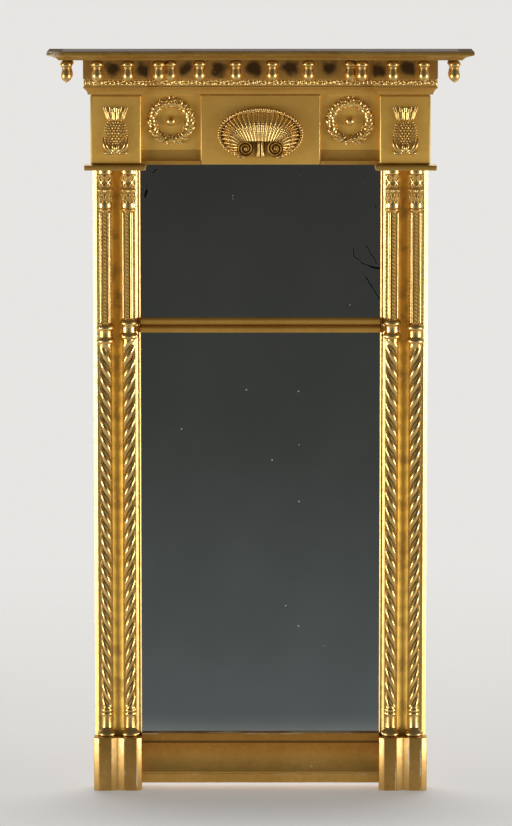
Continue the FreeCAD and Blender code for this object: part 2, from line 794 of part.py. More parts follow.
def moulding_run(label, section):
    """A section, drawn as (projection, height), mitred round the breaks of the core."""
    path = doc.addObject("Sketcher::SketchObject", f"{label}_path")
    outline = break_outline(ZERO, stile_back)
    stations = outline[1:] + outline[:1]
    spots = [FreeCAD.Vector(x.value, -depth.value, 0) for x, depth in stations]
    for start, stop in zip(spots, spots[1:]):
        path.addGeometry(Part.LineSegment(start, stop))
    last = len(spots) - 2
    for index in range(last):
        path.addConstraint(Sketcher.Constraint("Coincident", index, 2, index + 1, 1))
    for index, (x, depth) in enumerate(stations):
        geo, end = (index, 1) if index <= last else (last, 2)
        for kind, size in (("DistanceX", x), ("DistanceY", -depth)):
            number = path.addConstraint(Sketcher.Constraint(kind, -1, 1, geo, end, size.value))
            path.setExpression(f"Constraints[{number}]", size.formula)
    profile = doc.addObject("Sketcher::SketchObject", f"{label}_section")
    draw(profile, [(block_outer + corner[0], *corner[1:]) for corner in section], 1)
    profile.Placement = FreeCAD.Placement(FreeCAD.Vector(), FreeCAD.Rotation(FreeCAD.Vector(1, 0, 0), 90))
    place(profile, ZERO, stile_back, ZERO)
    place(path, ZERO, ZERO, ZERO)
    run = doc.addObject("Part::Sweep", label)
    run.Label = label
    run.Sections = [profile]
    run.Spine = (path, [f"Edge{index + 1}" for index in range(last + 1)])
    run.Solid = True
    run.Transition = "Right corner"
    return run


def make_entablature(screws):
    """Core and the mouldings planted round it: cove, leaf band, plain band and cornice."""
    core = plan_board("core_blank", break_outline(ZERO, stile_back), frieze_head, soffit)
    cut("entablature_core", core, screws)
    moulding_run("bed_cove_moulding", [
        (ZERO, frieze_head),
        (S.bed_foot, frieze_head, hollow(S.bed_hollow)),
        (S.bed_head, bed_head),
        (ZERO, bed_head),
    ])
    moulding_run("leaf_band", [
        (ZERO, bed_head),
        (S.leaf_depth, bed_head),
        (S.leaf_depth, leaf_head),
        (ZERO, leaf_head),
    ])
    moulding_run("plain_band", [
        (ZERO, leaf_head),
        (S.band_depth, leaf_head),
        (S.band_depth, soffit),
        (ZERO, soffit),
    ])
    cornice_head = soffit + S.cornice_height
    moulding_run("cornice_moulding", [
        (S.cornice_board, soffit),
        (S.cornice_soffit, soffit, hollow(S.cornice_hollow)),
        (S.cornice_reach, cornice_head - S.cornice_fillet),
        (S.cornice_reach, cornice_head),
        (S.cornice_board, cornice_head),
    ])
    return plan_board("cornice_board_blank", break_outline(S.cornice_board, stile_back), soffit, cornice_head)


def acorn_spots():
    """Centres of the drops as (side, depth): both ends with their returns, then the recessed middle."""
    end_row = block_front + S.acorn_inset
    centre_row = centre_front + S.acorn_inset
    corner = block_outer + S.acorn_inset
    recess = block_inner - S.acorn_inset - S.break_depth
    right = [(corner, end_row - S.acorn_pitch), (recess, centre_row)]
    right += [(corner - S.acorn_pitch * step, end_row) for step in range(4)]
    left = [(-x, depth) for x, depth in right]
    middle = [(S.acorn_centre_pitch * (step - 1.5) + S.acorn_centre_shift, centre_row) for step in range(4)]
    return right + left + middle


def make_acorns(cornice_blank):
    """Turned drops pegged into the soffit, and the cornice board bored for them."""
    cap_foot = -(S.acorn_neck + S.acorn_cap)
    drops = []
    for number, (x, depth) in enumerate(acorn_spots(), start=1):
        drops.append(turning(f"acorn_{number}", [
            (ZERO, -S.acorn_length, swell(S.acorn_nut_swell)),
            (S.acorn_nut_radius, cap_foot),
            (S.acorn_cap_radius, cap_foot, swell(S.acorn_cap_swell)),
            (S.acorn_cap_radius, -S.acorn_neck),
            (S.acorn_neck_radius, -S.acorn_neck),
            (S.acorn_neck_radius, ZERO),
            (S.acorn_peg_radius, ZERO),
            (S.acorn_peg_radius, S.acorn_peg),
            (ZERO, S.acorn_peg),
        ], x, depth, soffit, angle=360))
    acorns = group("acorn_drops", *drops)
    cut("cornice_board", cornice_blank, acorns)


def make_mirror():
    """Builds every sub-part and returns the labels to write."""
    nails = make_nails()
    bottom_rail, top_rail = make_rails(nails)
    crossbar = make_crossbar()
    right_plate, right_screws, right_ring = make_hanger()
    right_stile = make_stile((bottom_rail, top_rail, crossbar), nails, right_screws)
    for piece in (right_stile, make_facing(), make_plinth()):
        mirrored(piece.Label.replace("right", "left"), piece)
    mirrored("left_hanging_ring", right_ring)
    group("hanger_plates", right_plate, mirrored("left_hanger_plate", right_plate))
    screws = group("hanger_screws", right_screws, mirrored("left_screws", right_screws))
    labels = ["bottom_rail", "top_rail", "crossbar", "backboard_nails", "hanger_plates", "hanger_screws"]
    labels += both_sides("stile", "facing", "plinth", "hanging_ring")
    for place_name, foot in (("outer", S.outer_collar_foot), ("inner", S.inner_collar_foot)):
        for label in make_column(place_name, COLUMNS[place_name], foot):
            twin = label.replace("right", "left")
            mirrored(twin, doc.getObject(label))
            labels += [label, twin]
    make_glass_and_backing(nails)
    labels += ["lower_mirror_plate", "upper_mirror_plate", "glazing_blocks"]
    labels += ["lower_backboard", "upper_backboard"]
    make_frieze()
    make_shell()
    make_pineapple()
    make_wreath()
    labels += both_sides("block_slab", "end_block", "wreath_panel", "pineapple", "wreath")
    labels += ["panel_coves", "centre_tablet", "scallop_shell", "wreath_balls"]
    make_acorns(make_entablature(screws))
    labels += ["entablature_core", "bed_cove_moulding", "leaf_band", "plain_band"]
    labels += ["cornice_moulding", "cornice_board", "acorn_drops"]
    return labels


def both_sides(*names):
    return [f"{side}_{name}" for name in names for side in ("left", "right")]


def check_and_write(labels):
    """Stops on any failed object or empty shape, then writes one file for each sub-part."""
    doc.recompute()
    for obj in doc.Objects:
        if {"Invalid", "Error"} & set(obj.State):
            raise RuntimeError(f"{obj.Label} did not compute: {obj.State}")
    shapes = {}
    for label in labels:
        shape = doc.getObjectsByLabel(label)[0].Shape
        if shape.isNull() or not shape.isValid() or shape.Volume <= 0:
            raise RuntimeError(f"{label} has no sound shape")
        shapes[label] = shape
    os.makedirs("parts", exist_ok=True)
    for label, shape in shapes.items():
        shape.exportStep(os.path.join("parts", f"{label}.step"))
    print(f"{len(shapes)} sub-parts written")


check_and_write(make_mirror())
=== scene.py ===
import bmesh
import bpy
import numpy as np
from bpy.props import FloatProperty, FloatVectorProperty, IntProperty, PointerProperty
from bpy.types import Operator, Panel, PropertyGroup
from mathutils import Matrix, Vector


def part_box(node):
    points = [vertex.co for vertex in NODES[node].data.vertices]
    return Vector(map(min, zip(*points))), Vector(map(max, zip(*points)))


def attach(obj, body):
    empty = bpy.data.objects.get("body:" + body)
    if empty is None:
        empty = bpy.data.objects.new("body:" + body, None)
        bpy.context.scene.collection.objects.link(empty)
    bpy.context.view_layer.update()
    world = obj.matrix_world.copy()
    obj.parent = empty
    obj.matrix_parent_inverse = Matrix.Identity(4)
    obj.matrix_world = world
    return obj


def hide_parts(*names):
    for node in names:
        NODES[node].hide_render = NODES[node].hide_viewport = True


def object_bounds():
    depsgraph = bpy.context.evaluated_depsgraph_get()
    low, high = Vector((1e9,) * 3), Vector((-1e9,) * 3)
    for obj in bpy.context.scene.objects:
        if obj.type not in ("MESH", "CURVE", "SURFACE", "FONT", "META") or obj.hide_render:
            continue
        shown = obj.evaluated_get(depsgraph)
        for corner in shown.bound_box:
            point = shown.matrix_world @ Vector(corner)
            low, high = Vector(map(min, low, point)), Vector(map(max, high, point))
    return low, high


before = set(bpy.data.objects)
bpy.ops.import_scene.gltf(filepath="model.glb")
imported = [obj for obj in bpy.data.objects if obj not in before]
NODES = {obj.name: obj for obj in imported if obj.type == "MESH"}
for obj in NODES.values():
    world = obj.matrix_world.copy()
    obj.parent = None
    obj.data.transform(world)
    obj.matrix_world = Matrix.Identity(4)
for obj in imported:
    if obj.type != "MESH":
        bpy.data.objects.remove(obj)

bl_info = {
    "name": "Giltwood Mirror",
    "version": (1, 0, 0),
    "blender": (4, 5, 0),
    "location": "View3D > Sidebar > Mirror",
    "description": "Carved and gilded pieces of a pier mirror, set on its joinery",
    "category": "Object",
}

CAD_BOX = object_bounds()
PI = np.pi
TAU = 2 * np.pi
# How far a carving reaches into the face behind it
TUCK = 0.0004
SIDES = {"left": -1, "right": 1}
FINISHES = {}
# Dark veins in the silvering: both ends, as side and height, and half width
VEINS = (
    ((0.1705, -0.0919), (0.1725, -0.1081), 0.0020),
    ((0.1725, -0.1081), (0.1867, -0.1193), 0.0020),
    ((0.1867, -0.1193), (0.2028, -0.1247), 0.0024),
    ((0.2028, -0.1256), (0.2184, -0.1293), 0.0042),
    ((0.1950, -0.0884), (0.2135, -0.1210), 0.0020),
    ((0.1924, -0.1433), (0.2048, -0.1634), 0.0026),
    ((0.2048, -0.1634), (0.2220, -0.1899), 0.0021),
    ((0.2098, -0.0125), (0.2116, -0.0162), 0.0020),
    ((-0.1892, 0.0526), (-0.1974, 0.0466), 0.0026),
    ((-0.2085, 0.0132), (-0.2104, 0.0022), 0.0052),
    ((-0.2070, 0.0251), (-0.2076, 0.0150), 0.0014),
)
# Sides of the painted shadows that the drops cast on the plain band, and half the width of the recess between
# the end blocks
DROP_SHADOW_SIDES = (-0.268, -0.212, -0.137, -0.077, -0.0115, 0.054, 0.125, 0.212, 0.268)
HALF_RECESS = 0.2
# Carved leaves: length, width and height
WREATH_LEAF = np.array([0.0118, 0.0072, 0.0042])
BAND_LEAF = np.array([0.0122, 0.0062, 0.0062])
# Distance of each flute from the centre line, and half its width
FLUTE = (0.26325, 0.012)
# Arrises worn in dashes: sides on the plinths, depths below the origin on the bottom rail
PLINTH_ARRISES = (0.2292, 0.2508, 0.2752, 0.2968)
RAIL_ARRISES = (0.9950, 1.0715, 1.0880)
# Shade on the bottom rail: heights between which it deepens, its tint and the height of a dark crease
RAIL_SHADE = (-1.060, -1.022, (0.76, 0.64, 0.51), -1.0110)
# Turned profiles of the colonnettes: height and radius in millimetres
BASE_PROFILE = (
    (0.0, 15.6), (0.9, 17.2), (2.4, 18.1), (4.4, 18.1), (7.2, 17.0), (10.2, 14.6), (12.8, 12.2),
    (14.6, 11.0), (15.4, 10.4), (17.0, 9.9), (26, 9.5), (36.6, 9.6), (37.8, 10.2), (39.4, 11.3),
    (41.6, 11.5), (43.8, 11.0), (44.8, 10.2), (45.2, 10.1), (46.4, 11.1), (48.6, 11.5), (50.8, 11.1),
    (52.0, 9.9),
)
COLLAR_PROFILE = (
    (0.0, 12.8), (0.8, 14.6), (2.6, 16.5), (4.8, 17.0), (7.6, 16.4), (10.0, 15.0), (11.8, 13.4),
    (13.2, 13.0), (18.0, 12.9), (22.6, 13.1), (24.4, 13.6), (25.2, 14.8), (27.0, 16.5), (29.2, 17.0),
    (32.0, 16.4), (34.4, 15.0), (36.0, 13.2),
)
BELL_PROFILE = (
    (0, 12.2), (1.2, 13.6), (2.6, 14.2), (4.0, 13.6), (5.2, 11.0), (14, 10.6), (30, 10.9), (42, 10.9),
    (56, 11.2), (66, 12.4), (68.6, 12.9), (69.2, 14.2), (75.2, 14.2), (76, 13.8),
)
# Turned profile of an acorn: radius and height over the soffit in millimetres
ACORN_PROFILE = (
    (0, 3.0), (5.2, 3.0), (5.4, -0.6), (7.8, -2.2), (10.3, -4.6), (11.3, -7.4), (11.2, -9.4),
    (10.2, -11.0), (8.6, -11.7), (8.2, -12.4), (8.7, -13.2), (8.5, -14.0), (7.6, -14.8), (7.9, -18),
    (9.0, -22.5), (9.8, -27), (9.5, -31.5), (7.8, -35.4), (4.8, -38.4), (2.2, -40), (1.0, -40.9),
    (0, -41.4),
)


# Sizes and colours that a user may change

def length(name, text, value):
    return FloatProperty(name=name, description=text, default=value, min=0, unit="LENGTH", precision=5)


def slope(name, text, value):
    return FloatProperty(name=name, description=text, default=value, min=0, max=1.5, unit="ROTATION")


def share(name, text, value):
    return FloatProperty(name=name, description=text, default=value, min=0, max=1, subtype="FACTOR")


def lamp_power(name, text, value):
    return FloatProperty(name=name, description=text, default=value, min=0, unit="POWER")


def how_many(name, text, value, least, most):
    return IntProperty(name=name, description=text, default=value, min=least, max=most)


def colour(name, text, value):
    return FloatVectorProperty(name=name, description=text, default=value, size=3, min=0, max=1,
                               subtype="COLOR")


class GildingSettings(PropertyGroup):
    """Colours and sheen of the gold leaf and what shows through it."""
    leaf: colour("Gold leaf", "Colour of the burnished leaf", (0.86, 0.57, 0.165))
    matte: colour("Matte leaf", "Colour of the unburnished leaf", (0.83, 0.52, 0.125))
    clay: colour("Clay", "Red clay under the leaf", (0.36, 0.15, 0.05))
    # Dark dirt in the hollows of the carving, which also stands for the painted shade there and in the crease
    # of the bottom rail; a deeper copy of it makes the painted shadows of the drops, and it is also the dust
    # on the top of the cornice.
    dirt_and_shade: colour("Soot", "Dirt that lies in hollows", (0.15, 0.08, 0.024))
    gesso: colour("Gesso", "Chalk ground seen where leaf is chipped", (0.95, 0.86, 0.70))
    burnish: share("Burnished roughness", "Roughness of the burnished leaf", 0.31)
    dull: share("Matte roughness", "Roughness of the unburnished leaf", 0.62)
    varnish: share("Varnish", "Weight of the clear varnish over the burnished leaf", 0.8)


class ColonnetteSettings(PropertyGroup):
    """Carving of the four half-round colonnettes."""
    strands: how_many("Strands", "Strands of the twisted shaft", 3, 2, 6)
    lead: length("Lead", "Height of one full turn of a strand", 0.0825)
    carve: share("Depth of twist", "How far the strands stand apart", 0.47)
    twist_foot: length("Twist foot", "Radius of the twisted shaft at its foot", 0.0097)
    twist_head: length("Twist head", "Radius of the twisted shaft at its head", 0.0122)
    shaft: length("Shaft", "Radius of the reeded upper shaft", 0.013)
    reeds: how_many("Reeds", "Reeds round the full upper shaft", 8, 4, 16)
    bead: length("Bead pitch", "Spacing of the beads on a beaded reed", 0.0068)
    leaves: how_many("Leaves", "Leaves round the full capital", 6, 4, 10)


class ShellSettings(PropertyGroup):
    """Carving of the scallop shell."""
    ribs: how_many("Ribs", "Ribs of the shell", 37, 9, 41)
    rib_depth: length("Rib depth", "Depth of the grooves at the rim", 0.0026)
    relief: length("Relief", "How far the shell stands off the tablet", 0.0235)
    rise: length("Rise", "Height of the widest part above the foot", 0.046)
    fall: length("Fall", "How far the rim would fall below the widest part", 0.050)
    bow: length("Bow", "How far the side ribs arch up", 0.008)
    volute: length("Volute", "Distance of each volute from the middle", 0.0272)
    volute_radius: length("Volute radius", "Radius of each volute", 0.0158)
    volute_lift: length("Volute lift", "Height of the volutes above the foot of the shell", 0.0046)
    knob: length("Knob", "Radius of the knobs along the rim", 0.0037)
    spread: slope("Spread", "How far the fan of ribs turns below level on each side", 1.17)


class OrnamentSettings(PropertyGroup):
    """Carving of pineapples, wreaths and the leaf band."""
    knobs: how_many("Knobs", "Knobs round the front of a pineapple", 9, 3, 15)
    sprigs: how_many("Sprigs", "Sprigs up one side of a wreath", 16, 6, 24)
    wreath: length("Wreath", "Radius of the middle of a wreath", 0.0345)
    wreath_core: length("Wreath core", "Half thickness of the core under the leaves", 0.0072)
    leaf_pitch: length("Leaf pitch", "Spacing of the leaves of the carved band", 0.0074)


class CorniceSettings(PropertyGroup):
    """Layout of the cornice and its drops."""
    break_depth: length("Break", "How far the ends stand in front of the middle", 0.013)
    inset: length("Drop line", "Distance of the drops from the core", 0.041)
    pitch: length("Drop pitch", "Spacing of the drops at the ends", 0.0557)
    middle_pitch: length("Middle pitch", "Spacing of the four middle drops", 0.0658)
    middle_shift: length("Middle shift", "How far the middle drops stand off centre", 0.0115)


class StageSettings(PropertyGroup):
    """Floor, lamps and camera."""
    floor: colour("Floor", "Colour of the floor", (0.80, 0.79, 0.77))
    backdrop: colour("Backdrop", "Colour behind the mirror", (0.80, 0.79, 0.77))
    sides: colour("Sides", "Colour of the surroundings to each side", (0.50, 0.49, 0.47))
    lamp: lamp_power("Lamp", "Power of each side lamp", 190.0)
    floor_lamp: lamp_power("Floor lamp", "Power of the lamp over the floor", 38.0)
    focal: FloatProperty(name="Lens", description="Focal length of the camera", default=196.1, min=1,
                         unit="CAMERA")
    distance: length("Distance", "From the camera to the face of the stiles", 8.288)
    pitch: slope("Pitch", "How far the camera looks down", 0.1309)


# Curves and skins

def surface(x, y, z):
    """Points whose three coordinates are given over the same two parameters."""
    return np.stack(np.broadcast_arrays(x, y, z), -1)


def front_angles(count):
    """Angles across the front half of a turning, as one row."""
    return np.linspace(-PI / 2, PI / 2, count)[None]


def round_angles(count):
    """Angles once round, as one row."""
    return np.linspace(0, TAU, count, endpoint=False)[None]


def ease(start, stop, value):
    """Smooth step from 0 at start to 1 at stop."""
    t = np.clip((value - start) / (stop - start), 0, 1)
    return t * t * (3 - 2 * t)


def flowing(points, steps=6):
    """Catmull-Rom curve through the points: a cubic between each two, with slopes from their neighbours."""
    p = np.asarray(points, float)
    p = np.vstack([2 * p[0] - p[1], p, 2 * p[-1] - p[-2]])
    t = np.linspace(0, 1, steps, endpoint=False)[None, :, None]
    a, b, c, d = p[:-3, None], p[1:-2, None], p[2:-1, None], p[3:, None]
    curve = b + 0.5 * t * ((c - a) + t * ((2 * a - 5 * b + 4 * c - d) + t * (3 * b - a - 3 * c + d)))
    return np.vstack([curve.reshape(-1, p.shape[1]), p[-2]])


def eased_corners(corners, radius, steps=4):
    """Closed outline with each corner rounded by a parabola that leaves its two edges at the radius."""
    b = np.asarray(corners, float)
    before, after = np.roll(b, 1, 0) - b, np.roll(b, -1, 0) - b
    reach = np.minimum(np.linalg.norm(before, axis=1), np.linalg.norm(after, axis=1)) * 0.45
    reach = np.minimum(reach, radius)[:, None]
    a = b + before / np.linalg.norm(before, axis=1)[:, None] * reach
    c = b + after / np.linalg.norm(after, axis=1)[:, None] * reach
    t = np.linspace(0, 1, steps)[None, :, None]
    arcs = (1 - t) ** 2 * a[:, None] + 2 * t * (1 - t) * b[:, None] + t ** 2 * c[:, None]
    return arcs.reshape(-1, 2)


def shrunk(outline, amount):
    """A counter-clockwise outline moved inward along its normals by each amount: one ring per amount."""
    along = np.roll(outline, -1, 0) - np.roll(outline, 1, 0)
    along /= np.maximum(np.linalg.norm(along, axis=1), 1e-9)[:, None]
    inward = np.stack([-along[:, 1], along[:, 0]], 1)
    return outline[None] + inward[None] * np.asarray(amount)[:, None, None]


def skirted(points, depth):
    """A patch with one more row and column on every side, dropped straight back to a depth."""
    padded = np.pad(points, ((1, 1), (1, 1), (0, 0)), mode="edge")
    padded[[0, -1], :, 1] = depth
    padded[:, [0, -1], 1] = depth
    return padded


class Carving:
    """Closed skins of one piece in one mesh; relief is 0 in a hollow and 1 on a ridge."""

    def __init__(self):
        self.points, self.relief, self.faces = [], [], []
        self.count = 0

    def add(self, points, relief=1.0, around=False, ends=False, back=False):
        """Quads over a grid, or over copies of one. Around joins the last column to the first, ends
        closes the first and last rows, back closes the whole border with one face."""
        points = np.asarray(points, float)
        points = points[None] if points.ndim == 3 else points
        shape = points.shape[:3]
        index = self.count + np.arange(np.prod(shape)).reshape(shape)
        loop = np.concatenate([index, index[:, :, :1]], 2) if around else index
        quads = np.stack([loop[:, :-1, :-1], loop[:, :-1, 1:], loop[:, 1:, 1:], loop[:, 1:, :-1]], -1)
        self.faces += quads.reshape(-1, 4).tolist()
        if ends:
            self.faces += index[:, 0].tolist() + index[:, -1].tolist()
        if back:
            rim = [index[:, 0], index[:, 1:, -1], index[:, -1, -2::-1], index[:, -2:0:-1, 0]]
            self.faces += np.concatenate(rim, 1).tolist()
        self.points.append(points.reshape(-1, 3))
        self.relief.append(np.broadcast_to(relief, shape).ravel())
        self.count += int(np.prod(shape))

    def finish(self, name, finish, slot, node, crease):
        """Merges seams and poles, turns the faces outward and sets the piece on the frame."""
        mesh = bpy.data.meshes.new(name)
        mesh.from_pydata(np.concatenate(self.points).tolist(), [], self.faces)
        layer = mesh.attributes.new("relief", "FLOAT", "POINT")
        layer.data.foreach_set("value", np.concatenate(self.relief).astype(np.float32))
        work = bmesh.new()
        work.from_mesh(mesh)
        bmesh.ops.remove_doubles(work, verts=work.verts, dist=2e-6)
        bmesh.ops.recalc_face_normals(work, faces=work.faces)
        work.to_mesh(mesh)
        work.free()
        mesh.shade_smooth()
        mesh.set_sharp_from_angle(angle=np.radians(crease))
        mesh.materials.append(finishes()[finish])
        piece = bpy.data.objects.new(name, mesh)
        bpy.context.scene.collection.objects.link(piece)
        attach(piece, "frame")
        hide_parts(node)


def closed_piece(name, node, skin, relief, finish, slot, crease):
    """A piece that is one skin, joined round and closed at both ends."""
    piece = Carving()
    piece.add(skin, relief, True, True)
    piece.finish(name, finish, slot, node, crease)


def leaf_section(angle, groove, back):
    """Height of a leaf's oval section, a sine of the angle cut by a groove along the midrib and flatter at
    its back, and the relief that goes with it."""
    front = np.sin(angle) * (1 - groove * np.exp(-(np.cos(angle) / 0.3) ** 2))
    top = np.where(np.sin(angle) > 0, front, back * np.sin(angle))
    return top, 0.25 + 0.75 * np.clip(top, 0, 1)


def leaf_skin(rows, cols, curl):
    """Closed skin of a pointed leaf one unit long, wide and high: oval sections that swell from point to
    point, lifted at the tip by the square of the length."""
    u = np.linspace(0, 1, rows)[:, None]
    a = round_angles(cols)
    swell = np.abs(np.sin(PI * u ** 0.8)) ** 0.8
    top, ridge = leaf_section(a, 0.45, 0.35)
    skin = surface(u, 0.5 * swell * np.cos(a), swell * top + curl * u ** 2)
    return skin, np.broadcast_to(ridge, skin.shape[:2])


def scattered(skin, at, along, across, out, size):
    """Copies of a skin whose length, width and height lie along three directions at each spot."""
    axes = np.stack([along, across, out], 1) * np.asarray(size)[:, :, None]
    return np.asarray(at)[:, None, None] + np.einsum("rck,nkj->nrcj", skin, axes)


def blade(path, width, thick, cols=10):
    """Closed skin of a long leaf that follows a path: oval sections across it, pointed at both ends, with
    their backs to the wall."""
    along = np.gradient(path, axis=0)
    across = np.cross(along, [0.0, 1.0, 0.0])
    across /= np.linalg.norm(across, axis=1)[:, None]
    u = np.linspace(0, 1, len(path))[:, None]
    a = round_angles(cols)
    swell = np.abs(np.sin(PI * u ** 0.75)) ** 0.75
    top, ridge = leaf_section(a, 0.4, 0.5)
    skin = path[:, None] + across[:, None] * (0.5 * width * swell * np.cos(a))[..., None]
    skin[..., 1] -= thick * swell * top
    return skin, np.broadcast_to(ridge, skin.shape[:2])


def upright_board(outline, foot, head, round_over):
    """Rings of an outline from foot to head, drawn in along quarter circles at both ends."""
    turn = np.linspace(0, PI / 2, 4)
    inset = round_over * (1 - np.sin(turn))
    rise = round_over * (1 - np.cos(turn))
    rings = shrunk(outline, np.concatenate([inset, inset[::-1]]))
    heights = np.concatenate([foot + rise, head - rise[::-1]])
    z = np.broadcast_to(heights[:, None, None], (*rings.shape[:2], 1))
    return np.concatenate([rings, z], 2)


def plain_block(node, radius):
    """Plan of a node's box with eased corners, run up as a board with eased ends; relief marks the
    arrises."""
    low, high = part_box(node)
    corners = [(low.x, low.y), (high.x, low.y), (high.x, high.y), (low.x, high.y)]
    plan, rise = np.tile([0.5, 1, 1, 0.5], 4), np.tile([0.5, 1, 1, 0.5], 2)
    board = upright_board(eased_corners(corners, radius), low.z, high.z, radius)
    return board, np.maximum(plan[None], rise[:, None])


def half_turning(node, z, radius):
    """Front half of a turning on a node's own axis: x + r sin a, y - r cos a at each height."""
    low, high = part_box(node)
    angle = front_angles(radius.shape[1])
    return surface((low.x + high.x) / 2 + radius * np.sin(angle), high.y - radius * np.cos(angle), z)


def scroll(centre, radius, lift, turns, hand, rows=26, cols=72):
    """Round boss with a raised spiral: at distance s and angle a the ridge stands where turns * s and the
    angle are in step, over a low dome with a ball eye; it lies against a face to the front."""
    s = np.linspace(0, 1, rows)[:, None]
    a = round_angles(cols)
    wave = 0.5 + 0.5 * np.cos(TAU * turns * s - hand * a)
    eye = ease(0.3, 0.16, s)
    ridge = np.maximum(wave, eye) * ease(1.03, 0.93, s) + 0 * a
    height = lift * (0.60 + 0.25 * ridge + 0.15 * eye * np.sqrt(np.clip(1 - (s / 0.3) ** 2, 0, 1)))
    skin = surface(centre[0] + radius * s * np.cos(a), centre[1] - height, centre[2] + radius * s * np.sin(a))
    edge = skin[-1:].copy()
    edge[..., 1] = centre[1] + TUCK
    return np.concatenate([skin, edge]), np.concatenate([0.04 + 0.33 * ridge + 0.6 * eye, ridge[-1:] * 0])


def break_plan(offset):
    """Plan of the entablature moved outward by each offset: eight stations from wall to wall."""
    low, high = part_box("entablature_core")
    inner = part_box("right_end_block")[0].x
    step = bpy.context.scene.mirror_cornice.break_depth
    offset = np.asarray(offset, float)
    wide, near = high.x + offset, low.y - offset
    notch, deep = inner - offset, low.y + step - offset
    back = np.full_like(offset, high.y)
    x = np.stack([wide, wide, notch, notch, -notch, -notch, -wide, -wide], -1)
    y = np.stack([back, near, near, deep, deep, near, near, back], -1)
    return x, y


def moulded_run(section):
    """A section of (offset, height) carried round the breaks of the entablature with mitred corners."""
    section = np.asarray(section, float)
    return surface(*break_plan(section[:, 0]), section[:, 1:]).transpose(1, 0, 2)


# Finishes

class Finish:
    """A material whose nodes read the object's own coordinates."""

    def __init__(self, name, **shader):
        self.material = bpy.data.materials.new(name)
        self.material.use_nodes = True
        self.tree = self.material.node_tree
        self.tree.nodes.clear()
        self.output = self.tree.nodes.new("ShaderNodeOutputMaterial")
        self.shader = self.tree.nodes.new("ShaderNodeBsdfPrincipled")
        self.feed(self.output.inputs["Surface"], self.shader.outputs[0])
        self.place = self.tree.nodes.new("ShaderNodeTexCoord").outputs["Object"]
        for socket, value in shader.items():
            self.shader.inputs[socket.replace("_", " ").title().replace("Ior", "IOR")].default_value = value

    def feed(self, socket, value):
        if isinstance(value, bpy.types.NodeSocket):
            self.tree.links.new(value, socket)
        else:
            socket.default_value = value

    def node(self, kind, inputs, **settings):
        node = self.tree.nodes.new(kind)
        for name, value in settings.items():
            setattr(node, name, value)
        for name, value in inputs.items():
            self.feed(node.inputs[name], value)
        return node

    def stretched(self, scale):
        return self.node("ShaderNodeMapping", {"Vector": self.place, "Scale": scale}).outputs[0]

    def noise(self, scale, detail=3.0, roughness=0.55, vector=None):
        inputs = {"Vector": vector or self.place, "Scale": scale, "Detail": detail, "Roughness": roughness}
        return self.node("ShaderNodeTexNoise", inputs).outputs[0]

    def math(self, operation, first, second=0.0):
        return self.node("ShaderNodeMath", {0: first, 1: second}, operation=operation).outputs[0]

    def plus(self, first, second):
        return self.math("ADD", first, second)

    def minus(self, first, second):
        return self.math("SUBTRACT", first, second)

    def times(self, first, second):
        return self.math("MULTIPLY", first, second)

    def most(self, first, second):
        return self.math("MAXIMUM", first, second)

    def gap(self, value, place):
        """How far a value lies from a place, either way."""
        return self.math("ABSOLUTE", self.minus(value, place))

    def vector(self, operation, first, second):
        """Sum, product or distance of two vectors, or one vector scaled by a number."""
        socket = "Scale" if operation == "SCALE" else 1
        node = self.node("ShaderNodeVectorMath", {0: first, socket: second}, operation=operation)
        return node.outputs["Value" if operation in ("DISTANCE", "DOT_PRODUCT") else "Vector"]

    def axis(self, number):
        """One of the object's coordinates."""
        return self.node("ShaderNodeSeparateXYZ", {0: self.place}).outputs[number]

    def relief(self):
        """The height of the carving, from the piece's own attribute."""
        return self.node("ShaderNodeAttribute", {}, attribute_name="relief").outputs["Fac"]

    def span(self, value, low, high, start=0.0, stop=1.0):
        """Maps a value between two limits smoothly on to another range."""
        inputs = {"Value": value, "From Min": low, "From Max": high, "To Min": start, "To Max": stop}
        return self.node("ShaderNodeMapRange", inputs, interpolation_type="SMOOTHSTEP").outputs[0]

    def mix(self, factor, first, second, mode="MIX"):
        node = self.tree.nodes.new("ShaderNodeMix")
        node.data_type, node.blend_type = "RGBA", mode
        for socket, value in zip((node.inputs[0], node.inputs[6], node.inputs[7]), (factor, first, second)):
            self.feed(socket, (*value, 1) if isinstance(value, tuple) else value)
        return node.outputs[2]

    def bump(self, height, strength, distance):
        inputs = {"Height": height, "Strength": strength, "Distance": distance}
        self.feed(self.shader.inputs["Normal"], self.node("ShaderNodeBump", inputs).outputs[0])

    def shaken(self, scale, reach):
        """The object's coordinates, each moved either way by noise, up to a reach."""
        noise = self.node("ShaderNodeTexNoise", {"Vector": self.place, "Scale": scale, "Detail": 3.0})
        drift = self.vector("SUBTRACT", noise.outputs["Color"], (0.5, 0.5, 0.5))
        return self.vector("ADD", self.place, self.vector("SCALE", drift, 2 * reach))

    def near(self, spot, reach, place=None):
        """1 at a spot, falling to 0 at its reach."""
        return self.span(self.vector("DISTANCE", place or self.place, spot), reach, reach * 0.35)

    def stroke(self, place, start, stop, width):
        """1 on a line seen from the front, falling to 0 at its half width: the gap to the nearest point
        of the line."""
        flat = self.vector("MULTIPLY", place, (1, 0, 1))
        run = np.array([stop[0] - start[0], 0.0, stop[1] - start[1]])
        way = self.vector("SUBTRACT", flat, (start[0], 0.0, start[1]))
        part = self.vector("DOT_PRODUCT", way, run / (run @ run))
        foot = self.vector("SCALE", tuple(run), self.node("ShaderNodeClamp", {0: part}).outputs[0])
        return self.span(self.vector("DISTANCE", way, foot), width, width * 0.4)

    def done(self, base, roughness):
        self.feed(self.shader.inputs["Base Color"], base)
        self.feed(self.shader.inputs["Roughness"], roughness)
        return self.material


def tinted(rgb, factor, shift=(1, 1, 1)):
    return tuple(min(1.0, c * factor * s) for c, s in zip(rgb, shift))


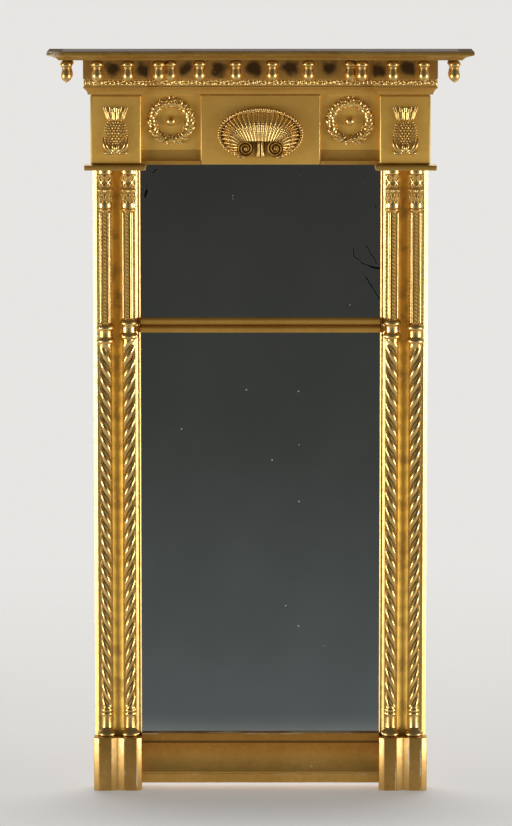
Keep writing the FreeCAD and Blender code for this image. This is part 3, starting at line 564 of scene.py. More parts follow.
def ground(name):
    """A colour that lies under or over the leaf: clay, the dark of dirt and painted shade, or gesso."""
    return tuple(getattr(bpy.context.scene.mirror_gilding, name))


def unvarnished(f, where, varnish):
    """Takes the varnish off where a mask is 1."""
    if varnish:
        f.feed(f.shader.inputs["Coat Weight"], f.minus(varnish, f.times(where, varnish)))


def in_hollows(f, tone, rough, fine, varnish):
    """Dark dirt and painted shade in the hollows of a carving, and matte flanks under its ridges."""
    relief = f.relief()
    hollow = f.times(f.span(relief, 0.32, 0.02), f.span(fine, 0.25, 0.7, 0.75, 1.0))
    flank = f.span(relief, 0.43, 0.36)
    unvarnished(f, flank, varnish)
    return f.mix(f.times(hollow, 0.88), tone, ground("dirt_and_shade")), f.plus(rough, f.times(flank, 0.28))


def on_edges(f, tone, rough, leaf, roughness, weight):
    """Smoother leaf on the rubbed edges of a plain piece, paler there as a painted highlight."""
    edge = f.span(f.relief(), 0.55, 0.85)
    tone = f.mix(f.times(edge, 0.8 * weight), tone, tinted(leaf, 1.15, (1, 1.08, 1.5)))
    return tone, f.minus(rough, f.times(edge, (roughness - 0.34) * weight))


def in_flute(f, tone, rough, leaf, flute, varnish):
    """Amber leaf in a flute, lighter than the rest as a painted glow of the light that the colonnettes throw
    into it, deeper and rougher towards the top, with clay showing in clouds.
    """
    middle, half = flute
    up = f.axis(2)
    inside = f.span(f.gap(f.math("ABSOLUTE", f.axis(0)), middle), half, half * 0.8)
    # Lighter, more orange copies of the leaf make the painted glow, deeper towards the top.
    below, above = tinted(leaf, 1.16, (1, 0.96, 0.7)), tinted(leaf, 1.16, (1, 0.88, 0.50))
    painted_glow = f.mix(f.span(up, -0.85, -0.55), below, above)
    painted_glow = f.mix(f.span(f.noise(26.0, 4.0, 0.6), 0.48, 0.66, 0.0, 0.45), painted_glow, ground("clay"))
    unvarnished(f, inside, varnish)
    rough = f.plus(rough, f.times(inside, f.span(up, -0.5, -0.2, 0.10, 0.30)))
    return f.mix(inside, tone, painted_glow), rough


def with_drop_shadows(f, tone, spots):
    """Ragged dark spots of painted shadow, each given by its place and reach."""
    shaken = f.shaken(45.0, 0.014)
    dark = tinted(ground("dirt_and_shade"), 0.36, (1, 0.85, 1.9))
    for spot, reach in spots:
        tone = f.mix(f.times(f.near(spot, reach, shaken), 0.88), tone, dark)
    return tone


def in_shade(f, tone, low, high, tint, crease):
    """A tint that deepens between two heights, and a dark crease."""
    up = f.axis(2)
    tone = f.mix(f.span(up, low, high), tone, tint, "MULTIPLY")
    return f.mix(f.span(f.gap(up, crease), 0.0032, 0.0014, 0, 0.8), tone, ground("dirt_and_shade"))


def under_dust(f, tone, rough, top):
    """Dirt on the upward face of a piece."""
    dust = f.span(f.axis(2), top - 0.0006, top - 0.0001)
    return f.mix(dust, tone, ground("dirt_and_shade")), f.plus(rough, f.times(dust, 0.4))


def chipped(f, chips, arrises):
    """Where the chalk ground is bare: fine specks, flakes about the chips, and arrises worn in dashes."""
    bare = f.span(f.noise(180.0, 2.0), 0.735, 0.78)
    for spot, reach in chips:
        bare = f.most(bare, f.times(f.near(spot, reach), f.span(f.noise(210.0, 4.0), 0.36, 0.50)))
    for axis, place, dash in arrises:
        line = f.span(f.gap(f.math("ABSOLUTE", f.axis(axis)), place), 0.0014, 0.0005)
        dashes = f.span(f.noise(1.0, 3.0, 0.6, f.stretched(dash)), 0.50, 0.62)
        bare = f.most(bare, f.times(line, dashes))
    return bare


def gilt(name, leaf, roughness, carved, wear=0.5, chips=(), flute=None, mottle=1.0, varnish=0.0, arrises=(),
         rubbed_edges_and_highlight=0.0, dusty=None, drop_shadows=(), shaded=None):
    """Gold leaf laid in patches over red clay, with fine pits and specks of the chalk ground. Carved leaf
    reads the relief of its piece, which puts dirt and painted shade in its hollows, and each further argument
    adds one mark: of age or use, or of painted light, as the painted glow in a flute, the painted highlight
    on rubbed edges, the painted shadows of the drops and the painted shade on the rail."""
    leaf = tuple(leaf)
    f = Finish(name, metallic=1.0, coat_weight=varnish, coat_roughness=0.25, coat_ior=1.7)
    grain = f.noise(95.0, 5.0, 0.65)
    fine = f.noise(420.0, 3.0, 0.6)
    dim = tinted(leaf, 1 - 0.08 * mottle, (1, 0.97, 0.9))
    bright = tinted(leaf, 1 + 0.05 * mottle, (1, 1.01, 1.05))
    tone = f.mix(f.span(f.noise(11.0, 4.0), 0.3, 0.7), dim, bright)
    tone = f.mix(f.span(grain, 0.35, 0.75, 0.0, 0.4 * mottle), tone, tinted(leaf, 0.7, (1, 0.92, 0.75)))
    rough = f.span(grain, 0.3, 0.75, roughness * (1 - 0.12 * mottle), roughness * (1 + 0.15 * mottle))
    if carved:
        tone, rough = in_hollows(f, tone, rough, fine, varnish)
    rubbed = f.span(f.noise(33.0, 7.0, 0.7), 0.70 - 0.16 * wear, 0.80 - 0.1 * wear)
    tone = f.mix(f.times(rubbed, 0.55 * wear), tone, ground("clay"))
    if rubbed_edges_and_highlight:
        tone, rough = on_edges(f, tone, rough, leaf, roughness, rubbed_edges_and_highlight)
    if flute:
        tone, rough = in_flute(f, tone, rough, leaf, flute, varnish)
    if drop_shadows:
        tone = with_drop_shadows(f, tone, drop_shadows)
    if shaded:
        tone = in_shade(f, tone, *shaded)
    if dusty is not None:
        tone, rough = under_dust(f, tone, rough, dusty)
    bare = chipped(f, chips, arrises)
    tone = f.mix(f.times(bare, 0.85), tone, ground("gesso"))
    rough = f.plus(rough, f.times(bare, 0.3))
    f.bump(f.plus(f.times(grain, 0.6), f.times(fine, 0.25)), 0.35, 0.0006)
    return f.done(tone, rough)


def silvered_glass(name):
    """Old mirror plate: silvering with a faint ripple, pinholes, and dark veins near its edges."""
    f = Finish(name, metallic=1.0)
    cloud = f.noise(6.0, 3.0)
    tone = f.mix(f.span(cloud, 0.3, 0.7), (0.70, 0.725, 0.69), (0.76, 0.785, 0.75))
    cells = f.node("ShaderNodeTexVoronoi", {"Vector": f.place, "Scale": 42.0, "Randomness": 1.0})
    chosen = f.span(f.node("ShaderNodeSeparateColor", {0: cells.outputs["Color"]}).outputs[0], 0.86, 0.88)
    hole = f.times(f.span(cells.outputs["Distance"], 0.075, 0.045), chosen)
    shaken = f.shaken(130.0, 0.003)
    vein = 0.0
    for start, stop, width in VEINS:
        vein = f.most(vein, f.stroke(shaken, start, stop, width))
    tone = f.mix(hole, tone, (0.95, 0.93, 0.88))
    tone = f.mix(vein, tone, (0.02, 0.018, 0.016))
    rough = f.plus(f.span(cloud, 0.2, 0.8, 0.03, 0.06), f.times(f.plus(hole, vein), 0.5))
    f.bump(f.noise(3.5, 1.0), 0.04, 0.004)
    return f.done(tone, rough)


def pine(name, tone, upright=True, washed=None):
    """Old deal: growth rings stretched along the board, darkened by age and dust. A washed board is bare at
    its back only and has a coloured wash on its other sides."""
    f = Finish(name, metallic=0.0)
    grain = f.noise(1.0, 6.0, 0.6, f.stretched((26, 26, 1.6) if upright else (1.6, 26, 26)))
    fibre = f.noise(1.0, 3.0, 0.6, f.stretched((420, 420, 9) if upright else (9, 420, 420)))
    rings = f.math("FRACT", f.times(grain, 9.0))
    late = f.span(rings, 0.55, 0.95)
    wood = f.mix(late, tone, tinted(tone, 0.62, (1, 0.88, 0.75)))
    wood = f.mix(f.span(fibre, 0.35, 0.7, 0.0, 0.4), wood, tinted(tone, 0.5))
    wood = f.mix(f.span(f.noise(4.0, 4.0), 0.5, 0.75, 0.0, 0.6), wood, tinted(tone, 0.35, (1, 0.92, 0.85)))
    if washed:
        depth = f.axis(1)
        worn = f.span(f.noise(24.0, 5.0, 0.65), 0.58, 0.72, 0.0, 0.6)
        wash = f.mix(worn, f.mix(f.span(fibre, 0.3, 0.7), washed, tinted(washed, 0.85)), wood)
        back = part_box("left_stile")[1].y
        wood = f.mix(f.span(depth, back - 0.0012, back - 0.0004), wash, wood)
    f.bump(f.plus(fibre, f.times(late, 0.5)), 0.4, 0.0006)
    return f.done(wood, f.span(fibre, 0.3, 0.7, 0.62, 0.82))


def old_metal(name, tone, dull, roughness):
    """Hand-worked metal, tarnished in patches and finely scratched."""
    f = Finish(name, metallic=1.0)
    patch = f.noise(160.0, 5.0, 0.65)
    scratch = f.noise(1.0, 2.0, 0.5, f.stretched((1800, 1800, 120)))
    base = f.mix(f.span(patch, 0.4, 0.7), tone, dull)
    f.bump(f.plus(patch, f.times(scratch, 0.4)), 0.3, 0.0003)
    return f.done(base, f.span(patch, 0.3, 0.75, roughness, roughness + 0.3))


def finishes():
    """Every finish of the mirror, made once."""
    if FINISHES:
        return FINISHES
    g = bpy.context.scene.mirror_gilding
    low, high = CAD_BOX
    corner = ((low.x, low.y, high.z), 0.030)
    plain = {"carved": False, "wear": 0.2, "mottle": 0.5}
    FINISHES.update({
        "carved": gilt("carved_gilt", g.leaf, g.burnish, True, varnish=g.varnish),
        "twisted": gilt("twisted_gilt", g.leaf, g.burnish - 0.07, True, varnish=g.varnish),
        "turned": gilt("turned_gilt", g.leaf, g.burnish, False, 0.4, varnish=g.varnish),
        "matte": gilt("matte_gilt", tinted(g.matte, 0.86, (1, 0.97, 1)), g.dull, **plain),
        # The tablet, end blocks, slabs and plinths have smoother leaf on their arrises, paler there as a
        # painted highlight.
        "tablet": gilt("tablet_gilt", g.matte, g.dull, **plain, rubbed_edges_and_highlight=1.0),
        "block": gilt("block_gilt", tinted(g.matte, 1.12, (1, 1.03, 1.05)), g.dull, **plain,
                      rubbed_edges_and_highlight=1.0),
        "panel": gilt("panel_gilt", tinted(g.matte, 1.15, (1, 1.03, 1.05)), g.dull, **plain),
        "reeded": gilt("reeded_gilt", tinted(g.matte, 0.8, (1, 0.94, 0.9)), g.dull, True, 0.5, mottle=0.7),
        # The plain band takes painted shadows of the drops between them.
        "band": gilt("band_gilt", tinted(g.leaf, 0.88, (1, 0.84, 0.75)), g.burnish + 0.14, False, 0.5,
                     drop_shadows=drop_shadow_spots()),
        # The flute of each facing takes a painted glow.
        "facing": gilt("facing_gilt", g.leaf, g.burnish + 0.12, False, 0.3, flute=FLUTE,
                       varnish=g.varnish * 0.6),
        # The plinths take a darker copy of the leaf, painted shade that offsets the light the pale floor
        # throws on them.
        "plinth": gilt("plinth_gilt", tinted(g.leaf, 0.72, (1, 0.87, 0.70)), g.burnish + 0.17, False, 0.6,
                       varnish=g.varnish * 0.5, rubbed_edges_and_highlight=0.5,
                       arrises=[(0, x, (160, 160, 26)) for x in PLINTH_ARRISES]),
        "rail": gilt("rail_gilt", tinted(g.leaf, 1.0, (1, 0.92, 0.84)), g.dull - 0.1, False, 0.6,
                     arrises=[(2, z, (14, 160, 160)) for z in RAIL_ARRISES], shaded=RAIL_SHADE),
        "cornice": gilt("cornice_gilt", tinted(g.matte, 0.68, (1, 0.97, 1)), g.dull - 0.1, False, 0.9,
                        chips=[corner], dusty=high.z),
        "slab": gilt("slab_gilt", tinted(g.matte, 0.74, (1, 0.97, 1)), g.dull - 0.1, False, 0.9,
                     rubbed_edges_and_highlight=1.0),
        "edge": pine("ochre_edge", (0.40, 0.25, 0.13), True, (0.62, 0.38, 0.10)),
        "glass": silvered_glass("silvered_glass"),
        "boards": pine("aged_pine", (0.42, 0.26, 0.13)),
        "cross_boards": pine("aged_pine_cross", (0.40, 0.25, 0.13), False),
        "dusty_boards": pine("dusty_pine", (0.16, 0.10, 0.055), False),
        "iron": old_metal("forged_iron", (0.16, 0.15, 0.14), (0.12, 0.06, 0.035), 0.4),
        "brass": old_metal("old_brass", (0.72, 0.52, 0.22), (0.34, 0.22, 0.09), 0.28),
    })
    return FINISHES


def drop_shadow_spots():
    """Place and reach of the painted shadows that the drops cast on the face of the plain band, which stands
    back in the recess.
    """
    low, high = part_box("plain_band")
    step = bpy.context.scene.mirror_cornice.break_depth
    level = (low.z + high.z) / 2
    return [((x, low.y + (step if abs(x) < HALF_RECESS else 0), level), 0.020) for x in DROP_SHADOW_SIDES]


def dress(finish, *names):
    """Gives carried-over pieces a finish."""
    for name in names:
        NODES[name].material_slots[0].material = finishes()[finish]


def both(*names):
    return [f"{side}_{name}" for side in SIDES for name in names]


# Pieces

class MIRROR_OT_joinery(Operator):
    """Finishes the stiles, rails, plates and boards that keep their joinery shapes."""
    bl_idname = "mirror.joinery"
    bl_label = "Joinery"

    def execute(self, context):
        dress("glass", "lower_mirror_plate", "upper_mirror_plate")
        dress("edge", *both("stile"))
        dress("rail", "bottom_rail")
        dress("panel", *both("wreath_panel"))
        dress("boards", "lower_backboard", "upper_backboard", "glazing_blocks")
        dress("cross_boards", "top_rail", "entablature_core")
        dress("dusty_boards", "cornice_board")
        return {"FINISHED"}


class MIRROR_OT_hardware(Operator):
    """Finishes the hangers, their rings and screws, and the nails of the backboards."""
    bl_idname = "mirror.hardware"
    bl_label = "Hanging hardware"

    def execute(self, context):
        dress("brass", "hanger_plates", "hanger_screws", *both("hanging_ring"))
        dress("iron", "backboard_nails")
        return {"FINISHED"}


class MIRROR_OT_plinths(Operator):
    """Makes the plinth blocks with eased arrises."""
    bl_idname = "mirror.plinths"
    bl_label = "Plinths"

    cant: length("Cant", "Width of the canted sides", 0.010)
    cant_depth: length("Cant depth", "Depth of the canted sides", 0.006)
    valley: length("Valley", "Width of the valley", 0.024)
    valley_depth: length("Valley depth", "Depth of the valley", 0.0062)

    def execute(self, context):
        arris, end_arris, fold = 0.0012, 0.0014, 0.00005
        for side in SIDES:
            node = f"{side}_plinth"
            low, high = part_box(node)
            middle = (low.x + high.x) / 2
            t = np.sort(np.append(np.linspace(-1, 1, 15), (-0.02, 0.02)))
            hollow = 1 - np.abs(t) ** 1.06
            floor = np.stack([middle + t * self.valley / 2, low.y + self.valley_depth * hollow], 1)
            corners = [(high.x, low.y + self.cant_depth), (high.x, high.y), (low.x, high.y),
                       (low.x, low.y + self.cant_depth), (low.x + self.cant, low.y), *floor,
                       (high.x - self.cant, low.y)]
            eased = np.full(len(corners), arris)
            eased[6:-2] = fold
            # The relief round the outline is 1 on the cants and the valley, whose leaf is smoother and paler
            # there: rubbed edges with a painted highlight.
            rise, fall, worn = np.linspace(0, 1, 4), np.linspace(1, 0, 4), np.ones(4)
            wear = np.concatenate([fall, 0 * worn, 0 * worn, rise, fall, rise, *[worn] * (len(floor) - 2),
                                   fall, rise])
            skin = upright_board(eased_corners(corners, eased), low.z, high.z, end_arris)
            closed_piece(f"{side}_plinth_block", node, skin, wear, "plinth", "burnished_gilt", 30)
        return {"FINISHED"}


class MIRROR_OT_facings(Operator):
    """Makes the facing boards with canted edges and a flute between the colonnettes."""
    bl_idname = "mirror.facings"
    bl_label = "Facings"

    fillet: length("Fillet", "Width of the rounded fillet at the glass", 0.0030)
    cant: length("Cant", "Width of each canted edge", 0.0066)
    flute: length("Flute", "Width of the flute", 0.0186)
    flute_depth: length("Flute depth", "Depth of the flute", 0.0032)

    def execute(self, context):
        for side, hand in SIDES.items():
            node = f"{side}_facing"
            low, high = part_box(node)
            section = self.section(high.x - low.x, low.y, high.y)
            inner = min(abs(low.x), abs(high.x))
            z = np.linspace(low.z, high.z, 9)[:, None]
            skin = surface(hand * (inner + section[:, 0]), section[:, 1], z)
            closed_piece(f"{side}_facing_board", node, skin, 1, "facing", "matte_gilt", 25)
        return {"FINISHED"}

    def section(self, width, front, back):
        """Back and front edges joined by a rounded fillet, a cant, a flat, a flute that is a power of the
        distance, and the same flat and cant again."""
        t = np.linspace(0, 1, 7)
        lip, roll, belly, quirk, seam = 0.0005, 0.0019, 0.16, 0.0002, 0.00001
        fillet = np.stack([self.fillet * t, back - lip - roll * np.sin(t * PI / 2)], 1)
        cant = np.stack([self.cant * t, back + (front - back) * (t + belly * t * (1 - t))], 1)
        s = np.linspace(-1, 1, 17)
        hollow = self.flute_depth * (1 - np.abs(s) ** 1.4)
        flute = np.stack([width / 2 + s * self.flute / 2, front + hollow], 1)
        return np.vstack([[(0, back)], fillet, cant + (self.fillet + quirk, 0), flute,
                          (cant * (-1, 1) + (width, 0))[::-1], [(width, back + seam)]])


class MIRROR_OT_crossbar(Operator):
    """Moulds the crossbar that parts the two plates."""
    bl_idname = "mirror.crossbar"
    bl_label = "Crossbar"

    groove: length("Groove", "Half width of the groove between the reeds", 0.0016)
    groove_depth: length("Groove depth", "Depth of the groove", 0.0036)
    fall: length("Fall", "How far the edges of each reed fall back", 0.0045)
    web: length("Web", "Thickness of the web between the plates", 0.007)

    def execute(self, context):
        low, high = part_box("crossbar")
        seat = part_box("lower_mirror_plate")[0].y
        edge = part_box("right_facing")[0].x
        section, relief = self.section(low.y, seat, low.z, high.z)
        ends = np.array([[-edge], [edge]])
        bar = Carving()
        bar.add(surface(ends, section[:, 0], section[:, 1]), relief, True, True)
        middle = (low.z + high.z) / 2
        corners = [(low.x, seat - 0.0005), (high.x, seat - 0.0005), (high.x, high.y), (low.x, high.y)]
        web = upright_board(np.array(corners), middle - self.web / 2, middle + self.web / 2, 0.0002)
        bar.add(web, 1, True, True)
        bar.finish("crossbar_moulding", "reeded", "burnished_gilt", "crossbar", 30)
        return {"FINISHED"}

    def section(self, front, back, foot, head):
        """Two flat reeds, each the fourth power of the distance from its middle, with a groove between."""
        t = np.linspace(-1, 1, 21)
        half = (head - foot) / 2
        reed = front + self.fall * t ** 4
        lower = np.stack([reed, foot + (half - self.groove) * (t + 1) / 2], 1)
        upper = np.stack([reed, foot + half + self.groove + (half - self.groove) * (t + 1) / 2], 1)
        groove = (front + self.fall + self.groove_depth, foot + half)
        section = np.vstack([[(back, foot)], lower, [groove], upper, [(back, head)]])
        depth = np.concatenate([[0.5], 1 - 0.6 * t ** 8, [0.0], 1 - 0.6 * t ** 8, [0.5]])
        return section, depth


class MIRROR_OT_twists(Operator):
    """Carves the twisted lower shafts."""
    bl_idname = "mirror.twists"
    bl_label = "Twisted shafts"

    def execute(self, context):
        hands = {"left_outer": -1, "left_inner": 1, "right_inner": -1, "right_outer": 1}
        for name, hand in hands.items():
            node = f"{name}_twist_shaft"
            low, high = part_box(node)
            z = np.linspace(low.z, high.z, 520)[:, None]
            radius, relief = self.strands(z, low.z, high.z, hand, context.scene.mirror_colonnettes)
            skin = half_turning(node, z, radius)
            closed_piece(f"{name}_twist", node, skin, relief, "twisted", "burnished_gilt", 75)
        return {"FINISHED"}

    def strands(self, z, foot, head, hand, s):
        """Section of equal circles about the axis, turned with height: r = d cos a + sqrt(p2 - (d sin a)2),
        a the angle from the nearest strand. The shaft tapers and the strands die out at both ends."""
        angle = front_angles(45)
        turn = s.strands * (angle - hand * TAU * (z - foot) / s.lead)
        off = (np.mod(turn + PI, TAU) - PI) / s.strands
        round_ = s.carve * np.cos(off) + np.sqrt((1 - s.carve) ** 2 - (s.carve * np.sin(off)) ** 2)
        depth = ease(foot - 0.002, foot + 0.012, z) * ease(head + 0.001, head - 0.017, z)
        outer = np.interp(z, [foot, head], [s.twist_foot, s.twist_head])
        relief = 1 - depth * (1 - round_) / 0.30
        return outer * (1 - depth * (1 - round_)), np.clip(relief, 0, 1)


class MIRROR_OT_collars(Operator):
    """Turns the bases and collars of the colonnettes."""
    bl_idname = "mirror.collars"
    bl_label = "Bases and collars"

    def execute(self, context):
        for name in both("outer", "inner"):
            self.turning(f"{name}_base_turning", f"{name}_base", BASE_PROFILE)
            self.turning(f"{name}_collar", f"{name}_collar_rings", COLLAR_PROFILE)
        return {"FINISHED"}

    def turning(self, node, name, profile):
        """Front half of a turning; the profile gives height and radius, spread over the height of the
        node."""
        low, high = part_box(node)
        curve = flowing(profile, 5)
        z = low.z + (high.z - low.z) * curve[:, :1] / curve[-1, 0]
        skin = half_turning(node, z, curve[:, 1:] / 1000 + 0 * front_angles(41))
        closed_piece(name, node, skin, 1, "turned", "burnished_gilt", 60)


class MIRROR_OT_reeds(Operator):
    """Carves the reeded upper shafts."""
    bl_idname = "mirror.reeds"
    bl_label = "Reeded shafts"

    def execute(self, context):
        phases = {"left_outer": 0.0, "left_inner": -0.2, "right_inner": 0.2, "right_outer": 0.0}
        for name, phase in phases.items():
            node = f"{name}_upper_shaft"
            low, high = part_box(node)
            z = np.linspace(low.z, high.z, 640)[:, None]
            radius, relief = self.reeds(z, low.z, high.z, phase, context.scene.mirror_colonnettes)
            skin = half_turning(node, z, radius)
            closed_piece(f"{name}_reeds", node, skin, relief, "carved", "burnished_gilt", 75)
        return {"FINISHED"}

    def reeds(self, z, foot, head, phase, s):
        """Half-round reeds about the shaft with flat grounds between; every other one is a string of beads,
        cut by a slanting sine of height."""
        angle = front_angles(73) - phase
        pitch = TAU / s.reeds
        number = np.round(angle / pitch)
        beaded = np.mod(number, 2) == 0
        off = (angle - number * pitch) / (pitch * np.where(beaded, 0.28, 0.31))
        reed = np.sqrt(np.clip(1 - off ** 2, 0, 1))
        bead = np.abs(np.sin(PI * (z / s.bead + 0.35 * off))) ** 0.7
        carved = np.where(beaded, reed * bead, reed)
        ends = ease(foot, foot + 0.003, z) * ease(head, head - 0.003, z)
        # A beaded reed keeps a low relief, so its crests take matte leaf and the gaps between its beads dirt
        # and painted shade.
        relief = np.where(beaded, 0.05 + 0.36 * carved, carved) * ends + 0.3 * (1 - ends)
        return s.shaft * (0.75 + 0.25 * carved * ends), relief


class MIRROR_OT_capitals(Operator):
    """Carves the two-tier leaf capitals."""
    bl_idname = "mirror.capitals"
    bl_label = "Capitals"

    def execute(self, context):
        for name in both("outer", "inner"):
            node = f"{name}_capital"
            low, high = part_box(node)
            z = np.linspace(low.z, high.z, 170)[:, None]
            radius, relief = self.leaves(z - low.z, context.scene.mirror_colonnettes)
            skin = half_turning(node, z, radius)
            closed_piece(f"{name}_leaf_capital", node, skin, relief, "carved", "burnished_gilt", 75)
        return {"FINISHED"}

    def leaves(self, h, s):
        """Bell carved in three tiers. Below, a ring of veined leaves that grow from a plain cup, each an oval
        bump over the angle; at their tips a ring of curls, each a small dome; above, stems that cross where
        two slanting waves meet."""
        angle = front_angles(145)
        bell = flowing(BELL_PROFILE)
        radius = np.interp(h, bell[:, 0] / 1000, bell[:, 1] / 1000) + 0 * angle
        pitch = TAU / s.leaves
        off = np.mod(angle / pitch, 1) - 0.5
        cup, leaf_height, curl_level = 0.0055, 0.0295, 0.0385
        stem_foot, stem_height, rim = 0.0445, 0.0235, 0.0685
        u = (h - cup) / leaf_height
        wide = 0.49 * (1 - 0.35 * ease(0.5, 1.0, u))
        leaf = np.sqrt(np.clip(1 - (off / wide) ** 2, 0, 1)) * ease(0, 0.05, u) * ease(1.0, 0.9, u)
        vein = 0.5 + 0.5 * np.cos(TAU * (2.6 * u + 3.4 * np.abs(off))) * ease(0.18, 0.5, u)
        rib = np.exp(-(off / 0.05) ** 2)
        lower = leaf * (0.30 + 0.70 * vein) * (1 - 0.6 * rib)
        lower = lower + (0.8 * ease(0, 0.05, u) - lower) * ease(0.46, 0.26, u)
        curl = np.exp(-((h - curl_level) / 0.0032) ** 2 - (off / 0.24) ** 2)
        inner = np.exp(-((h - curl_level + 0.001) / 0.0035) ** 2 - ((np.abs(off) - 0.5) / 0.2) ** 2)
        v = (h - stem_foot) / stem_height
        band = ease(0, 0.08, v) * ease(1.0, 0.94, v)
        turns, slant = angle / pitch, 1.4 * v
        stem = np.maximum(np.abs(np.cos(PI * (turns + slant))), np.abs(np.cos(PI * (turns - slant))))
        bud = np.abs(np.sin(TAU * turns) * np.sin(PI * 3 * v))
        upper = band * np.maximum(ease(0.86, 0.98, stem), 0.75 * ease(0.45, 0.9, bud))
        radius = radius + 0.0034 * lower + 0.0046 * curl + 0.0030 * inner + 0.0024 * upper
        plain = np.maximum(ease(cup, cup - 0.001, h), ease(rim, rim + 0.0007, h))
        tiers = [lower ** 1.2, curl, 0.8 * inner, upper, plain + 0 * angle, 0.14 + 0 * radius]
        return radius, np.clip(np.maximum.reduce(tiers), 0, 1)


class MIRROR_OT_frieze(Operator):
    """Makes the blocks, slabs, tablet and coves of the frieze with eased arrises."""
    bl_idname = "mirror.frieze"
    bl_label = "Frieze"

    def execute(self, context):
        for node in both("end_block"):
            self.block(node, 0.0050, "block", "matte_gilt")
        self.block("centre_tablet", 0.0034, "tablet", "matte_gilt")
        for node in both("block_slab"):
            self.block(node, 0.0020, "slab", "burnished_gilt")
        self.coves()
        return {"FINISHED"}

    def block(self, node, radius, finish, slot):
        closed_piece(f"{node}_board", node, *plain_block(node, radius), finish, slot, 30)

    def coves(self):
        """Section of fillet and hollow, run between the tablet and each end block."""
        low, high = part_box("panel_coves")
        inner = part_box("centre_tablet")[1].x
        t = np.linspace(0, 1, 10)
        fillet = low.z + 0.007
        hollow_y = low.y + (high.y - 0.001 - low.y) * np.sin(t * PI / 2) ** 0.8
        hollow_z = fillet + (high.z - fillet) * (1 - np.cos(t * PI / 2)) ** 0.9
        section = np.array([(high.y, low.z), (low.y, low.z), (low.y, fillet - 0.001),
                            *zip(hollow_y, hollow_z), (high.y, high.z)])
        coves = Carving()
        for side in SIDES.values():
            x = np.sort([side * inner, side * high.x])[:, None]
            coves.add(surface(x, section[:, 0], section[:, 1]), 1, True, True)
        coves.finish("panel_cove_runs", "reeded", "matte_gilt", "panel_coves", 30)


